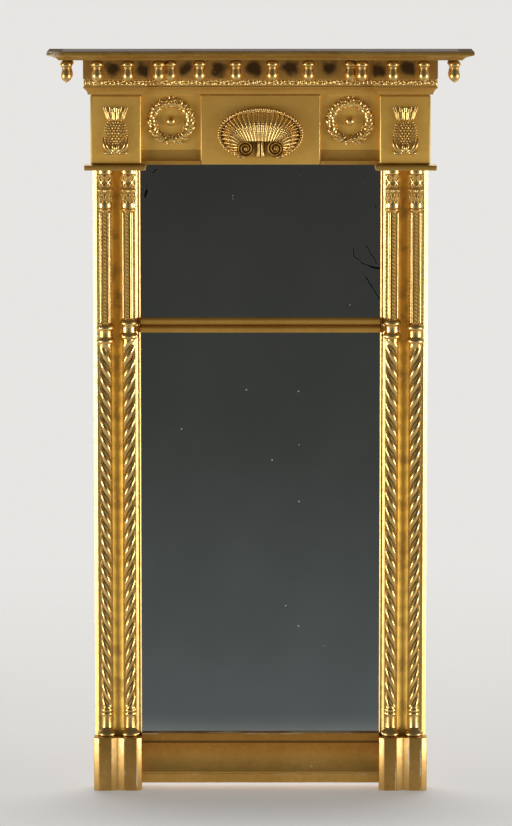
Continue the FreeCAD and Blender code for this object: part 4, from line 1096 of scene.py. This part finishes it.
class MIRROR_OT_shell(Operator):
    """Carves the scallop shell with its volutes and stem."""
    bl_idname = "mirror.shell"
    bl_label = "Scallop shell"

    def execute(self, context):
        s = context.scene.mirror_shell
        low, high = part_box("scallop_shell")
        shell = Carving()
        skin, relief = self.fan(low, high, s)
        shell.add(skirted(skin, high.y + TUCK), np.pad(relief, 1), back=True)
        for hand in (-1, 1):
            centre = (hand * s.volute, high.y, low.z + s.volute_radius + s.volute_lift)
            shell.add(*scroll(centre, s.volute_radius, s.relief, 3.0, -hand), around=True, ends=True)
        shell.add(self.rim(low, high, s), 1.0, True)
        stem, relief = self.stem(low, high)
        shell.add(skirted(stem, high.y + TUCK), np.pad(relief, 1), back=True)
        shell.finish("carved_shell", "carved", "burnished_gilt", "scallop_shell", 70)
        return {"FINISHED"}

    def fan(self, low, high, s):
        """Ribs run from a line behind the volutes to a wide scalloped oval. Along a rib the height rises to a
        dome, falls towards the rim and lifts again in a bead; across it is a power of a sine."""
        t = np.linspace(-s.spread, PI + s.spread, s.ribs * 12 + 1)[None]
        u = np.linspace(0, 1, 110)[:, None]
        side, up = np.cos(t), np.sin(t)
        rib = np.abs(np.sin((t - t[0, 0]) / (t[0, -1] - t[0, 0]) * PI * s.ribs)) ** 0.6
        lobe = 1 - 0.045 * (1 - rib)
        turn = np.radians(55) * (1 + 2 * np.arcsin(np.clip(up, -1, 0)) / s.spread)
        reach = s.volute + s.volute_radius * 0.85 * np.cos(turn)
        x0 = np.where(up < 0, np.sign(side) * reach, side * (s.volute + s.volute_radius * 0.49))
        start = np.where(up < 0, 1 + 0.85 * np.sin(turn), 1.7 + 0.15 * up)
        z0 = low.z + s.volute_lift + s.volute_radius * start
        middle = low.z + s.rise
        x1 = (high.x - low.x) / 2 * side * lobe
        z1 = middle + np.where(up < 0, s.fall, high.z - middle) * up * lobe
        x = x0 + (x1 - x0) * u
        z = z0 + (z1 - z0) * u + s.bow * np.sin(PI * u) * side ** 2 * ease(-0.7, 0.1, up)
        dome = 0.72 + 0.28 * ease(-0.1, 0.46, u) - 0.60 * ease(0.40, 0.95, u) ** 1.2
        dome = dome - 0.03 * np.exp(-((u - 0.875) / 0.03) ** 2) + 0.09 * ease(0.88, 0.94, u)
        matte = ease(0.50, 0.62, u) * ease(0.87, 0.82, u) * ease(0.30, 0.65, up)
        groove = s.rib_depth * (0.60 + 0.40 * ease(0.0, 0.5, u)) * (1 - rib) * (1 - 0.5 * matte)
        growth = 0.00022 * np.sin(TAU * 15 * u) * ease(0.15, 0.4, u)
        edge = np.sqrt(np.clip((1 - u) / 0.04, 0, 1))
        y = high.y - (s.relief * dome - groove + growth) * (0.4 + 0.6 * edge)
        relief = np.clip(rib * (0.35 + 0.65 * edge) + 0.1 - 0.15 * np.exp(-((u - 0.87) / 0.025) ** 2), 0, 1)
        relief = relief + matte * (0.27 + 0.10 * rib - relief)
        return surface(x, y, z), np.broadcast_to(relief, y.shape)

    def rim(self, low, high, s):
        """Small knobs, three to every two ribs, set close along the rim of the shell."""
        count = s.ribs * 3 // 2
        t = -s.spread + (PI + 2 * s.spread) * (np.arange(count) + 0.5) / count
        middle = low.z + s.rise
        wide = (high.x - low.x) / 2 - s.knob
        tall = np.where(np.sin(t) < 0, s.fall, high.z - middle) - s.knob
        at = surface(wide * np.cos(t), high.y - s.relief * 0.46, middle + tall * np.sin(t))
        b = np.linspace(-PI / 2, PI / 2, 7)[:, None]
        a = round_angles(10)
        ball = surface(np.cos(b) * np.cos(a), np.cos(b) * np.sin(a), np.sin(b))
        return at[:, None, None] + ball * s.knob

    def stem(self, low, high):
        """Two reeds side by side, each a power of a sine across, eased at head and foot."""
        v = np.linspace(-1, 1, 37)[None]
        u = np.linspace(0, 1, 24)[:, None]
        reed = np.abs(np.sin(PI * v)) ** 0.6
        ends = np.sqrt(np.clip(1 - (2 * u - 1) ** 8, 0, 1))
        half_width, lift, height, ground_depth, reed_depth = 0.0074, 0.003, 0.031, 0.0085, 0.0055
        x = half_width * v * (1 + 0.15 * (1 - u) ** 2)
        z = low.z + lift + height * u
        y = high.y - (ground_depth + reed_depth * reed) * (0.4 + 0.6 * ends)
        return surface(x, y, z), np.broadcast_to(0.1 + 0.33 * reed * ends, y.shape)


class MIRROR_OT_pineapples(Operator):
    """Carves the pineapples of the end blocks."""
    bl_idname = "mirror.pineapples"
    bl_label = "Pineapples"

    half_width: length("Half width", "Half width of the fruit", 0.0215)
    stand: length("Stand", "How far the fruit stands off the block", 0.0160)
    lift: length("Lift", "Height of the foot of the fruit above the lowest leaves", 0.0085)
    height: length("Height", "Height of the fruit", 0.0560)
    crown_lift: length("Crown lift", "Height of the foot of the crown above the lowest leaves", 0.0590)

    def execute(self, context):
        for side in SIDES:
            node = f"{side}_pineapple"
            low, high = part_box(node)
            x = (low.x + high.x) / 2
            fruit = Carving()
            skin, relief = self.fruit(x, high.y, low.z, context.scene.mirror_ornaments.knobs)
            fruit.add(skin, relief, True, True)
            self.crown(fruit, x, high.y, low.z)
            self.base(fruit, x, high.y, low.z)
            fruit.finish(f"{side}_pineapple_carving", "carved", "burnished_gilt", node, 70)
        return {"FINISHED"}

    def fruit(self, x, y, foot, knobs):
        """Half of an oval body, pushed out into knobs where two crossing waves are both high."""
        a = np.linspace(0, PI, 121)[None]
        v = np.linspace(0, 1, 110)[:, None]
        across, up = knobs * (a - PI / 2), 0.62 * knobs * PI * v
        knob = np.abs(np.cos(across + up) * np.cos(across - up)) ** 0.9
        ring = np.sqrt(np.clip(1 - (2 * v - 1) ** 2, 0, 1)) ** 0.8
        swell = 0.82 + 0.20 * knob
        px = x - self.half_width * ring * swell * np.cos(a)
        py = y - self.stand * ring * swell * np.sin(a)
        pz = foot + self.lift + self.height * v
        return surface(px, py, pz), knob

    def crown(self, fruit, x, y, foot):
        """Two flared half cups, one in front of the other, each carved into upright leaves: a power of a sine
        round the cup, which also cuts its rim into points. Inside the rim each cup falls to a low floor."""
        a = np.linspace(0, PI, 127)[None]
        v = np.linspace(0, 1, 22)[:, None]
        cups = ((7, 0.0262, (0.0160, 0.0236), (0.0106, 0.0112)),
                (6, 0.0180, (0.0152, 0.0198), (0.0138, 0.0144)))
        for count, tall, wide, deep in cups:
            leaf = np.abs(np.sin(count * a)) ** 0.8
            swell = 0.66 + 0.34 * leaf * ease(0, 0.25, v)
            across = (wide[0] + (wide[1] - wide[0]) * v ** 1.25) * swell
            out = (deep[0] + (deep[1] - deep[0]) * v) * swell
            up = foot + self.crown_lift + tall * v * (1 - 0.30 * (1 - leaf) * ease(0.4, 1, v))
            cup = surface(x - across * np.cos(a), y - out * np.sin(a), up)
            floor = np.array([x, y, foot]) + (cup[-1:] - (x, y, foot)) * (0.7, 0.6, 1) - (0, 0, 0.004)
            relief = np.broadcast_to(0.05 + 0.95 * leaf * (1 - 0.3 * ease(0.2, 0, v)), across.shape)
            fruit.add(np.concatenate([cup, floor]), np.concatenate([relief, 0 * relief[:1]]), True, True)

    def base(self, fruit, x, y, foot):
        """Long leaves that clasp the fruit from below and short ones that turn out at the foot; each path is
        given as side, stand from the block and height."""
        paths = (([(2, 7, 1.5), (13, 9, 7), (20.5, 9, 18), (22.5, 5, 33)], 7.5, 3.6),
                 ([(2, 12, 3), (8.5, 15, 8), (14.5, 14.5, 17), (17.5, 11, 27)], 6.5, 3.0),
                 ([(1.5, 8, 5), (10, 8, 2.5), (18, 7, 2), (23, 4, 6.5)], 6.5, 3.2),
                 ([(0, 9, 7), (4, 10, 3.5), (8.5, 8, 1), (12, 5, 0.5)], 6.0, 3.2),
                 ([(1.5, 9, 2), (2.5, 13, 7), (4, 15.5, 13), (5.5, 16, 19)], 6.5, 2.6))
        for spots, width, thick in paths:
            for hand in (-1, 1):
                path = flowing(np.array(spots) * (hand, -1, 1), 5) / 1000 + np.array([x, y, foot])
                fruit.add(*blade(path, width / 1000, thick / 1000), True)


class MIRROR_OT_wreaths(Operator):
    """Carves the leaf wreaths and finishes the balls inside them."""
    bl_idname = "mirror.wreaths"
    bl_label = "Wreaths"

    def execute(self, context):
        s = context.scene.mirror_ornaments
        dress("turned", "wreath_balls")
        for side in SIDES:
            node = f"{side}_wreath"
            low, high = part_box(node)
            centre = np.array([(low.x + high.x) / 2, high.y, (low.z + high.z) / 2])
            wreath = Carving()
            wreath.add(self.core(centre, s.wreath, s.wreath_core), 0.38, True)
            self.sprigs(wreath, centre, s.wreath, s.sprigs)
            wreath.finish(f"{side}_leaf_wreath", "carved", "burnished_gilt", node, 60)
        return {"FINISHED"}

    def core(self, centre, radius, tube):
        """Half ring: a half circle carried round the centre and closed flat at its back."""
        a = np.linspace(0, TAU, 73)[:, None]
        b = np.linspace(-PI / 2, PI / 2, 13)[None]
        ring = radius + tube * np.sin(b)
        y = centre[1] - tube * np.cos(b) + 0.0003
        return surface(centre[0] + ring * np.cos(a), y, centre[2] + ring * np.sin(a))

    def sprigs(self, wreath, centre, radius, count):
        """Leaves that climb both sides from the foot in four ranks across the ring, each turned a little
        away from the middle of the ring."""
        chance = np.random.default_rng(11)
        skin, ridge = leaf_skin(7, 8, 0.3)
        for rank, tilt in ((-1.15, -0.75), (-0.4, -0.25), (0.4, 0.25), (1.15, 0.75)):
            for hand in (-1, 1):
                k = np.arange(count) + 0.35 + 0.25 * np.sign(rank)
                a = -PI / 2 + hand * PI * k / count + chance.normal(0, 0.03, count)
                radial = np.stack([np.cos(a), 0 * a, np.sin(a)], 1)
                tangent = hand * np.stack([-np.sin(a), 0 * a, np.cos(a)], 1)
                front = np.tile([0.0, -1.0, 0.0], (count, 1))
                out = radial * np.sin(rank) + front * np.cos(rank)
                lean = tilt + chance.normal(0, 0.3, count)[:, None]
                level = np.cross(out, tangent)
                level *= np.sign((level * radial).sum(1))[:, None]
                along = tangent * np.cos(lean) + level * np.sin(lean)
                across = np.cross(out, along)
                at = centre + radial * (radius + 0.0062 * np.sin(rank)) + front * 0.0060 * np.cos(rank)
                grow = chance.uniform(0.85, 1.12, count)[:, None]
                size = WREATH_LEAF * grow
                wreath.add(scattered(skin, at, along, across, out, size), ridge[None] ** 0.6, True)


class MIRROR_OT_cornice(Operator):
    """Makes the cove, plain band and cornice moulding with eased arrises."""
    bl_idname = "mirror.cornice"
    bl_label = "Cornice"

    def execute(self, context):
        self.bed()
        self.band()
        self.crown()
        return {"FINISHED"}

    def bed(self):
        low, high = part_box("bed_cove_moulding")
        t = np.linspace(0, 1, 10)
        cove = np.stack([0.0042 + 0.0066 * t ** 1.9, low.z + 0.0015 + (high.z - low.z - 0.0042) * t], 1)
        section = [(0, low.z), (0.0034, low.z), *cove, (0.0118, high.z - 0.0022), (0.0120, high.z - 0.0006),
                   (0.0116, high.z), (0, high.z)]
        self.run("bed_cove_run", section, "matte", "matte_gilt", "bed_cove_moulding")

    def band(self):
        low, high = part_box("plain_band")
        section = [(0, low.z), (0.012, low.z), (0.012, high.z), (0, high.z)]
        self.run("plain_band_run", section, "band", "matte_gilt", "plain_band")

    def crown(self):
        """Soffit bead, hollow, small step and top fillet, each with eased edges."""
        low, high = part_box("cornice_moulding")
        t = np.linspace(0, 1, 9)
        hollow = np.stack([0.0575 + 0.0125 * t ** 1.6, low.z + 0.0028 + 0.0055 * t], 1)
        section = [(0.049, low.z), (0.0545, low.z), (0.0556, low.z + 0.0006), (0.0560, low.z + 0.0018),
                   (0.0566, low.z + 0.0024), *hollow, (0.0718, low.z + 0.0087), (0.0724, low.z + 0.0094),
                   (0.0744, low.z + 0.0096), (0.0752, low.z + 0.0103), (0.0754, high.z - 0.0006),
                   (0.0752, high.z - 0.0001), (0.0750, high.z), (0.049, high.z)]
        self.run("cornice_run", section, "cornice", "burnished_gilt", "cornice_moulding")

    def run(self, name, section, finish, slot, node):
        closed_piece(name, node, moulded_run(section), 1, finish, slot, 25)


class MIRROR_OT_leaf_band(Operator):
    """Carves the band of leaves under the plain band."""
    bl_idname = "mirror.leaf_band"
    bl_label = "Leaf band"

    def execute(self, context):
        low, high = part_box("leaf_band")
        band = Carving()
        section = [(0, low.z), (0.0098, low.z), (0.0104, low.z + 0.0010), (0.0100, low.z + 0.0022),
                   (0.0100, high.z - 0.0010), (0.0096, high.z), (0, high.z)]
        band.add(moulded_run(section), 0.37, True, True)
        x, y = break_plan(np.array([0.0098]))
        corners = np.stack([x[0], y[0]], 1)
        skin, ridge = leaf_skin(7, 8, 0.25)
        chance = np.random.default_rng(5)
        for start, stop in zip(corners[:-1], corners[1:]):
            self.leaves(band, skin, ridge, start, stop, low.z, high.z, chance)
        band.finish("carved_leaf_band", "carved", "matte_gilt", "leaf_band", 60)
        return {"FINISHED"}

    def leaves(self, band, skin, ridge, start, stop, foot, head, chance):
        """Overlapping leaves along one straight run: they rise and fall by turns like a waving stem, the
        slant following a sine of the distance, in two ranks one above the other."""
        run = np.linalg.norm(stop - start)
        way = np.array([*(stop - start) / run, 0.0])
        out_way = np.array([way[1], -way[0], 0.0])
        pitch = bpy.context.scene.mirror_ornaments.leaf_pitch
        count = max(2, int(round(run / pitch)))
        s = (np.arange(count) + 0.5) / count
        for level, phase, full in ((0.34, 0.0, 1.0), (0.70, 2.2, 0.85)):
            slant = 1.15 * np.sin(TAU * s * run / 0.0285 + phase) + chance.normal(0, 0.3, count)
            grow = chance.uniform(0.85, 1.15, count)[:, None]
            size = BAND_LEAF * full * grow
            up = np.array([0.0, 0.0, 1.0])
            along = way * np.cos(slant)[:, None] + up * np.sin(slant)[:, None]
            out = np.tile(out_way, (count, 1))
            across = np.cross(out, along)
            middle = np.array([*start, 0.0]) + way * (s * run)[:, None]
            line = foot + (head - foot) * level
            middle[:, 2] = line
            middle -= along * size[:, :1] * 0.5
            reach = np.abs(along[:, 2]) * size[:, 0] * 0.5 + np.abs(across[:, 2]) * size[:, 1] * 0.5
            middle[:, 2] += np.clip(line, foot + reach, head - reach) - line
            band.add(scattered(skin, middle, along, across, out, size), ridge[None] ** 0.5, True)


class MIRROR_OT_acorns(Operator):
    """Turns the acorn drops under the cornice."""
    bl_idname = "mirror.acorns"
    bl_label = "Acorn drops"

    def execute(self, context):
        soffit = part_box("cornice_board")[0].z
        profile = flowing(ACORN_PROFILE, 4) / 1000
        a = round_angles(40)
        skin = surface(profile[:, :1] * np.cos(a), profile[:, :1] * np.sin(a), profile[:, 1:])
        spots = self.spots(context.scene.mirror_cornice)
        at = np.column_stack([spots, np.full(len(spots), soffit)])
        depth = profile[:, 1] * 1000
        groove = 1 - np.exp(-((depth + 12.2) / 0.8) ** 2) - np.exp(-((depth + 15.0) / 0.6) ** 2)
        drops = Carving()
        drops.add(at[:, None, None] + skin[None], np.clip(groove, 0, 1)[None, :, None], True)
        drops.finish("turned_acorns", "carved", "burnished_gilt", "acorn_drops", 60)
        return {"FINISHED"}

    def spots(self, s):
        """Each end carries four drops and one on its return; one stands in each corner of the recess and
        four across the middle."""
        low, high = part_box("entablature_core")
        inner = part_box("right_end_block")[0].x
        row, corner = low.y - s.inset, high.x + s.inset
        middle_row = row + s.break_depth
        right = [(corner, row + s.pitch), (inner - s.inset - s.break_depth, middle_row)]
        right += [(corner - s.pitch * step, row) for step in range(4)]
        left = [(-x, y) for x, y in right]
        middle = [(s.middle_pitch * (step - 1.5) - s.middle_shift, middle_row) for step in range(4)]
        return np.array(right + left + middle)


class MIRROR_OT_stage(Operator):
    """Sets up the floor, lamps, surroundings and camera."""
    bl_idname = "mirror.stage"
    bl_label = "Stage"

    def execute(self, context):
        s = context.scene.mirror_stage
        self.floor(s)
        self.surroundings(context.scene, s)
        for side in SIDES.values():
            self.side_lamp(side, s.lamp)
        self.area_lamp("floor_lamp", 3.6, 2.2, s.floor_lamp, (0, 1.7, 1.6), (0, 0, 0))
        self.camera(context.scene, s)
        context.scene.view_settings.view_transform = "Standard"
        return {"FINISHED"}

    def floor(self, s):
        """Flat sheet under the plinths that fades out round its border."""
        level = CAD_BOX[0].z - 0.0002
        count, reach = 25, 3
        line = np.linspace(-reach, reach, count)
        points = surface(line[:, None], line[None], level).reshape(-1, 3)
        index = np.arange(count ** 2).reshape(count, count)
        quads = np.stack([index[:-1, :-1], index[1:, :-1], index[1:, 1:], index[:-1, 1:]], -1).reshape(-1, 4)
        mesh = bpy.data.meshes.new("floor")
        mesh.from_pydata(points.tolist(), [], quads.tolist())
        f = Finish("floor_paint", metallic=0.0, emission_color=(*s.floor, 1), emission_strength=0.28)
        front = f.span(f.axis(1), -0.75, -0.12)
        solid = f.times(front, f.span(f.vector("DISTANCE", f.place, (0, 0, level)), 2.6, 0.9))
        f.feed(f.shader.inputs["Alpha"], solid)
        paint = f.mix(f.span(f.noise(5.0), 0.3, 0.7), tinted(s.floor, 0.985), tuple(s.floor))
        mesh.materials.append(f.done(paint, 0.7))
        floor = bpy.data.objects.new("floor", mesh)
        bpy.context.scene.collection.objects.link(floor)

    def surroundings(self, scene, s):
        """Pale behind the mirror, softly lit all round, and dim straight in front where the camera stands;
        each zone is graded by the height of the direction."""
        world = bpy.data.worlds.new("studio")
        world.use_nodes = True
        tree = world.node_tree
        tree.nodes.clear()
        add = tree.nodes.new
        way = add("ShaderNodeSeparateXYZ")
        tree.links.new(add("ShaderNodeTexCoord").outputs["Generated"], way.inputs[0])
        height = add("ShaderNodeMapRange")
        tree.links.new(way.outputs["Z"], height.inputs["Value"])
        height.inputs["From Min"].default_value = -1
        front = [(0.0, (0.16, 0.16, 0.16)), (0.37, (0.15, 0.16, 0.17)), (0.402, (0.105, 0.118, 0.122)),
                 (0.43, (0.058, 0.060, 0.058)), (0.462, (0.041, 0.041, 0.040)), (1.0, (0.038, 0.038, 0.038))]
        around = [(0.0, tinted(s.sides, 0.5)), (0.2, tuple(s.sides)), (0.36, tuple(s.sides)),
                  (0.47, tinted(s.sides, 0.55)), (0.56, tinted(s.sides, 0.25)), (1.0, tinted(s.sides, 0.15))]
        tone = self.graded(tree, height, front)
        zones = ((-0.972, -0.92, self.graded(tree, height, around)), (0.20, 0.75, s.backdrop))
        for start, stop, zone in zones:
            edge = add("ShaderNodeMapRange")
            edge.interpolation_type = "SMOOTHSTEP"
            tree.links.new(way.outputs["Y"], edge.inputs["Value"])
            edge.inputs["From Min"].default_value, edge.inputs["From Max"].default_value = start, stop
            mix = add("ShaderNodeMix")
            mix.data_type = "RGBA"
            tree.links.new(edge.outputs[0], mix.inputs[0])
            tree.links.new(tone, mix.inputs[6])
            if isinstance(zone, bpy.types.NodeSocket):
                tree.links.new(zone, mix.inputs[7])
            else:
                mix.inputs[7].default_value = (*zone, 1)
            tone = mix.outputs[2]
        glow = add("ShaderNodeBackground")
        tree.links.new(tone, glow.inputs["Color"])
        tree.links.new(glow.outputs[0], add("ShaderNodeOutputWorld").inputs["Surface"])
        scene.world = world

    def graded(self, tree, height, stops):
        """A tone for each height of the direction, from straight down to straight up."""
        ramp = tree.nodes.new("ShaderNodeValToRGB")
        for number, (position, rgb) in enumerate(stops):
            stop = ramp.color_ramp.elements[number] if number < 2 else ramp.color_ramp.elements.new(position)
            stop.position, stop.color = position, (*rgb, 1)
        tree.links.new(height.outputs[0], ramp.inputs[0])
        return ramp.outputs[0]

    def side_lamp(self, side, power):
        """Tall soft lamp to one side, turned towards the middle of the mirror."""
        away, turn = 7, np.radians(66) * side
        place = (away * np.sin(turn), -away * np.cos(turn), -0.9)
        self.area_lamp(f"side_lamp_{side + 1}", 2.4, 1.9, power, place, (PI / 2, 0, turn))

    def area_lamp(self, name, wide, tall, power, place, turn):
        """Broad soft lamp, which shines straight down where it isn't turned."""
        data = bpy.data.lights.new(name, "AREA")
        data.shape, data.size, data.size_y, data.energy = "RECTANGLE", wide, tall, power
        lamp = bpy.data.objects.new(name, data)
        lamp.location, lamp.rotation_euler = place, turn
        bpy.context.scene.collection.objects.link(lamp)

    def camera(self, scene, s):
        """Long lens, a little above the middle of the mirror and looking down at it."""
        data = bpy.data.cameras.new("camera")
        data.lens, data.sensor_width = s.focal, 36
        camera = bpy.data.objects.new("camera", data)
        x, y, z = -0.0081, -0.030, -0.3966
        camera.location = (x, y - s.distance * np.cos(s.pitch), z + s.distance * np.sin(s.pitch))
        camera.rotation_euler = (PI / 2 - s.pitch, 0, 0)
        data.clip_end = 200
        scene.collection.objects.link(camera)
        scene.camera = camera


class MIRROR_PT_pieces(Panel):
    """Lists the operators of the mirror in the order in which they are run."""
    bl_idname = "MIRROR_PT_pieces"
    bl_label = "Giltwood Mirror"
    bl_space_type = "VIEW_3D"
    bl_region_type = "UI"
    bl_category = "Mirror"

    def draw(self, context):
        for operator in OPERATORS:
            self.layout.operator(operator.bl_idname)
        for name, group in GROUPS.items():
            box = self.layout.box()
            for prop in group.__annotations__:
                box.prop(getattr(context.scene, name), prop)


GROUPS = {
    "mirror_gilding": GildingSettings,
    "mirror_colonnettes": ColonnetteSettings,
    "mirror_shell": ShellSettings,
    "mirror_ornaments": OrnamentSettings,
    "mirror_cornice": CorniceSettings,
    "mirror_stage": StageSettings,
}
OPERATORS = (
    MIRROR_OT_joinery,
    MIRROR_OT_hardware,
    MIRROR_OT_plinths,
    MIRROR_OT_facings,
    MIRROR_OT_crossbar,
    MIRROR_OT_twists,
    MIRROR_OT_collars,
    MIRROR_OT_reeds,
    MIRROR_OT_capitals,
    MIRROR_OT_frieze,
    MIRROR_OT_shell,
    MIRROR_OT_pineapples,
    MIRROR_OT_wreaths,
    MIRROR_OT_cornice,
    MIRROR_OT_leaf_band,
    MIRROR_OT_acorns,
    MIRROR_OT_stage,
)
CLASSES = (*GROUPS.values(), *OPERATORS, MIRROR_PT_pieces)


def register():
    for item in CLASSES:
        bpy.utils.register_class(item)
    for name, group in GROUPS.items():
        setattr(bpy.types.Scene, name, PointerProperty(type=group))


def unregister():
    for name in GROUPS:
        delattr(bpy.types.Scene, name)
    for item in reversed(CLASSES):
        bpy.utils.unregister_class(item)


def main():
    """Runs every operator in order."""
    register()
    for operator in OPERATORS:
        family, name = operator.bl_idname.split(".")
        getattr(getattr(bpy.ops, family), name)()


if __name__ == "__main__":
    main()
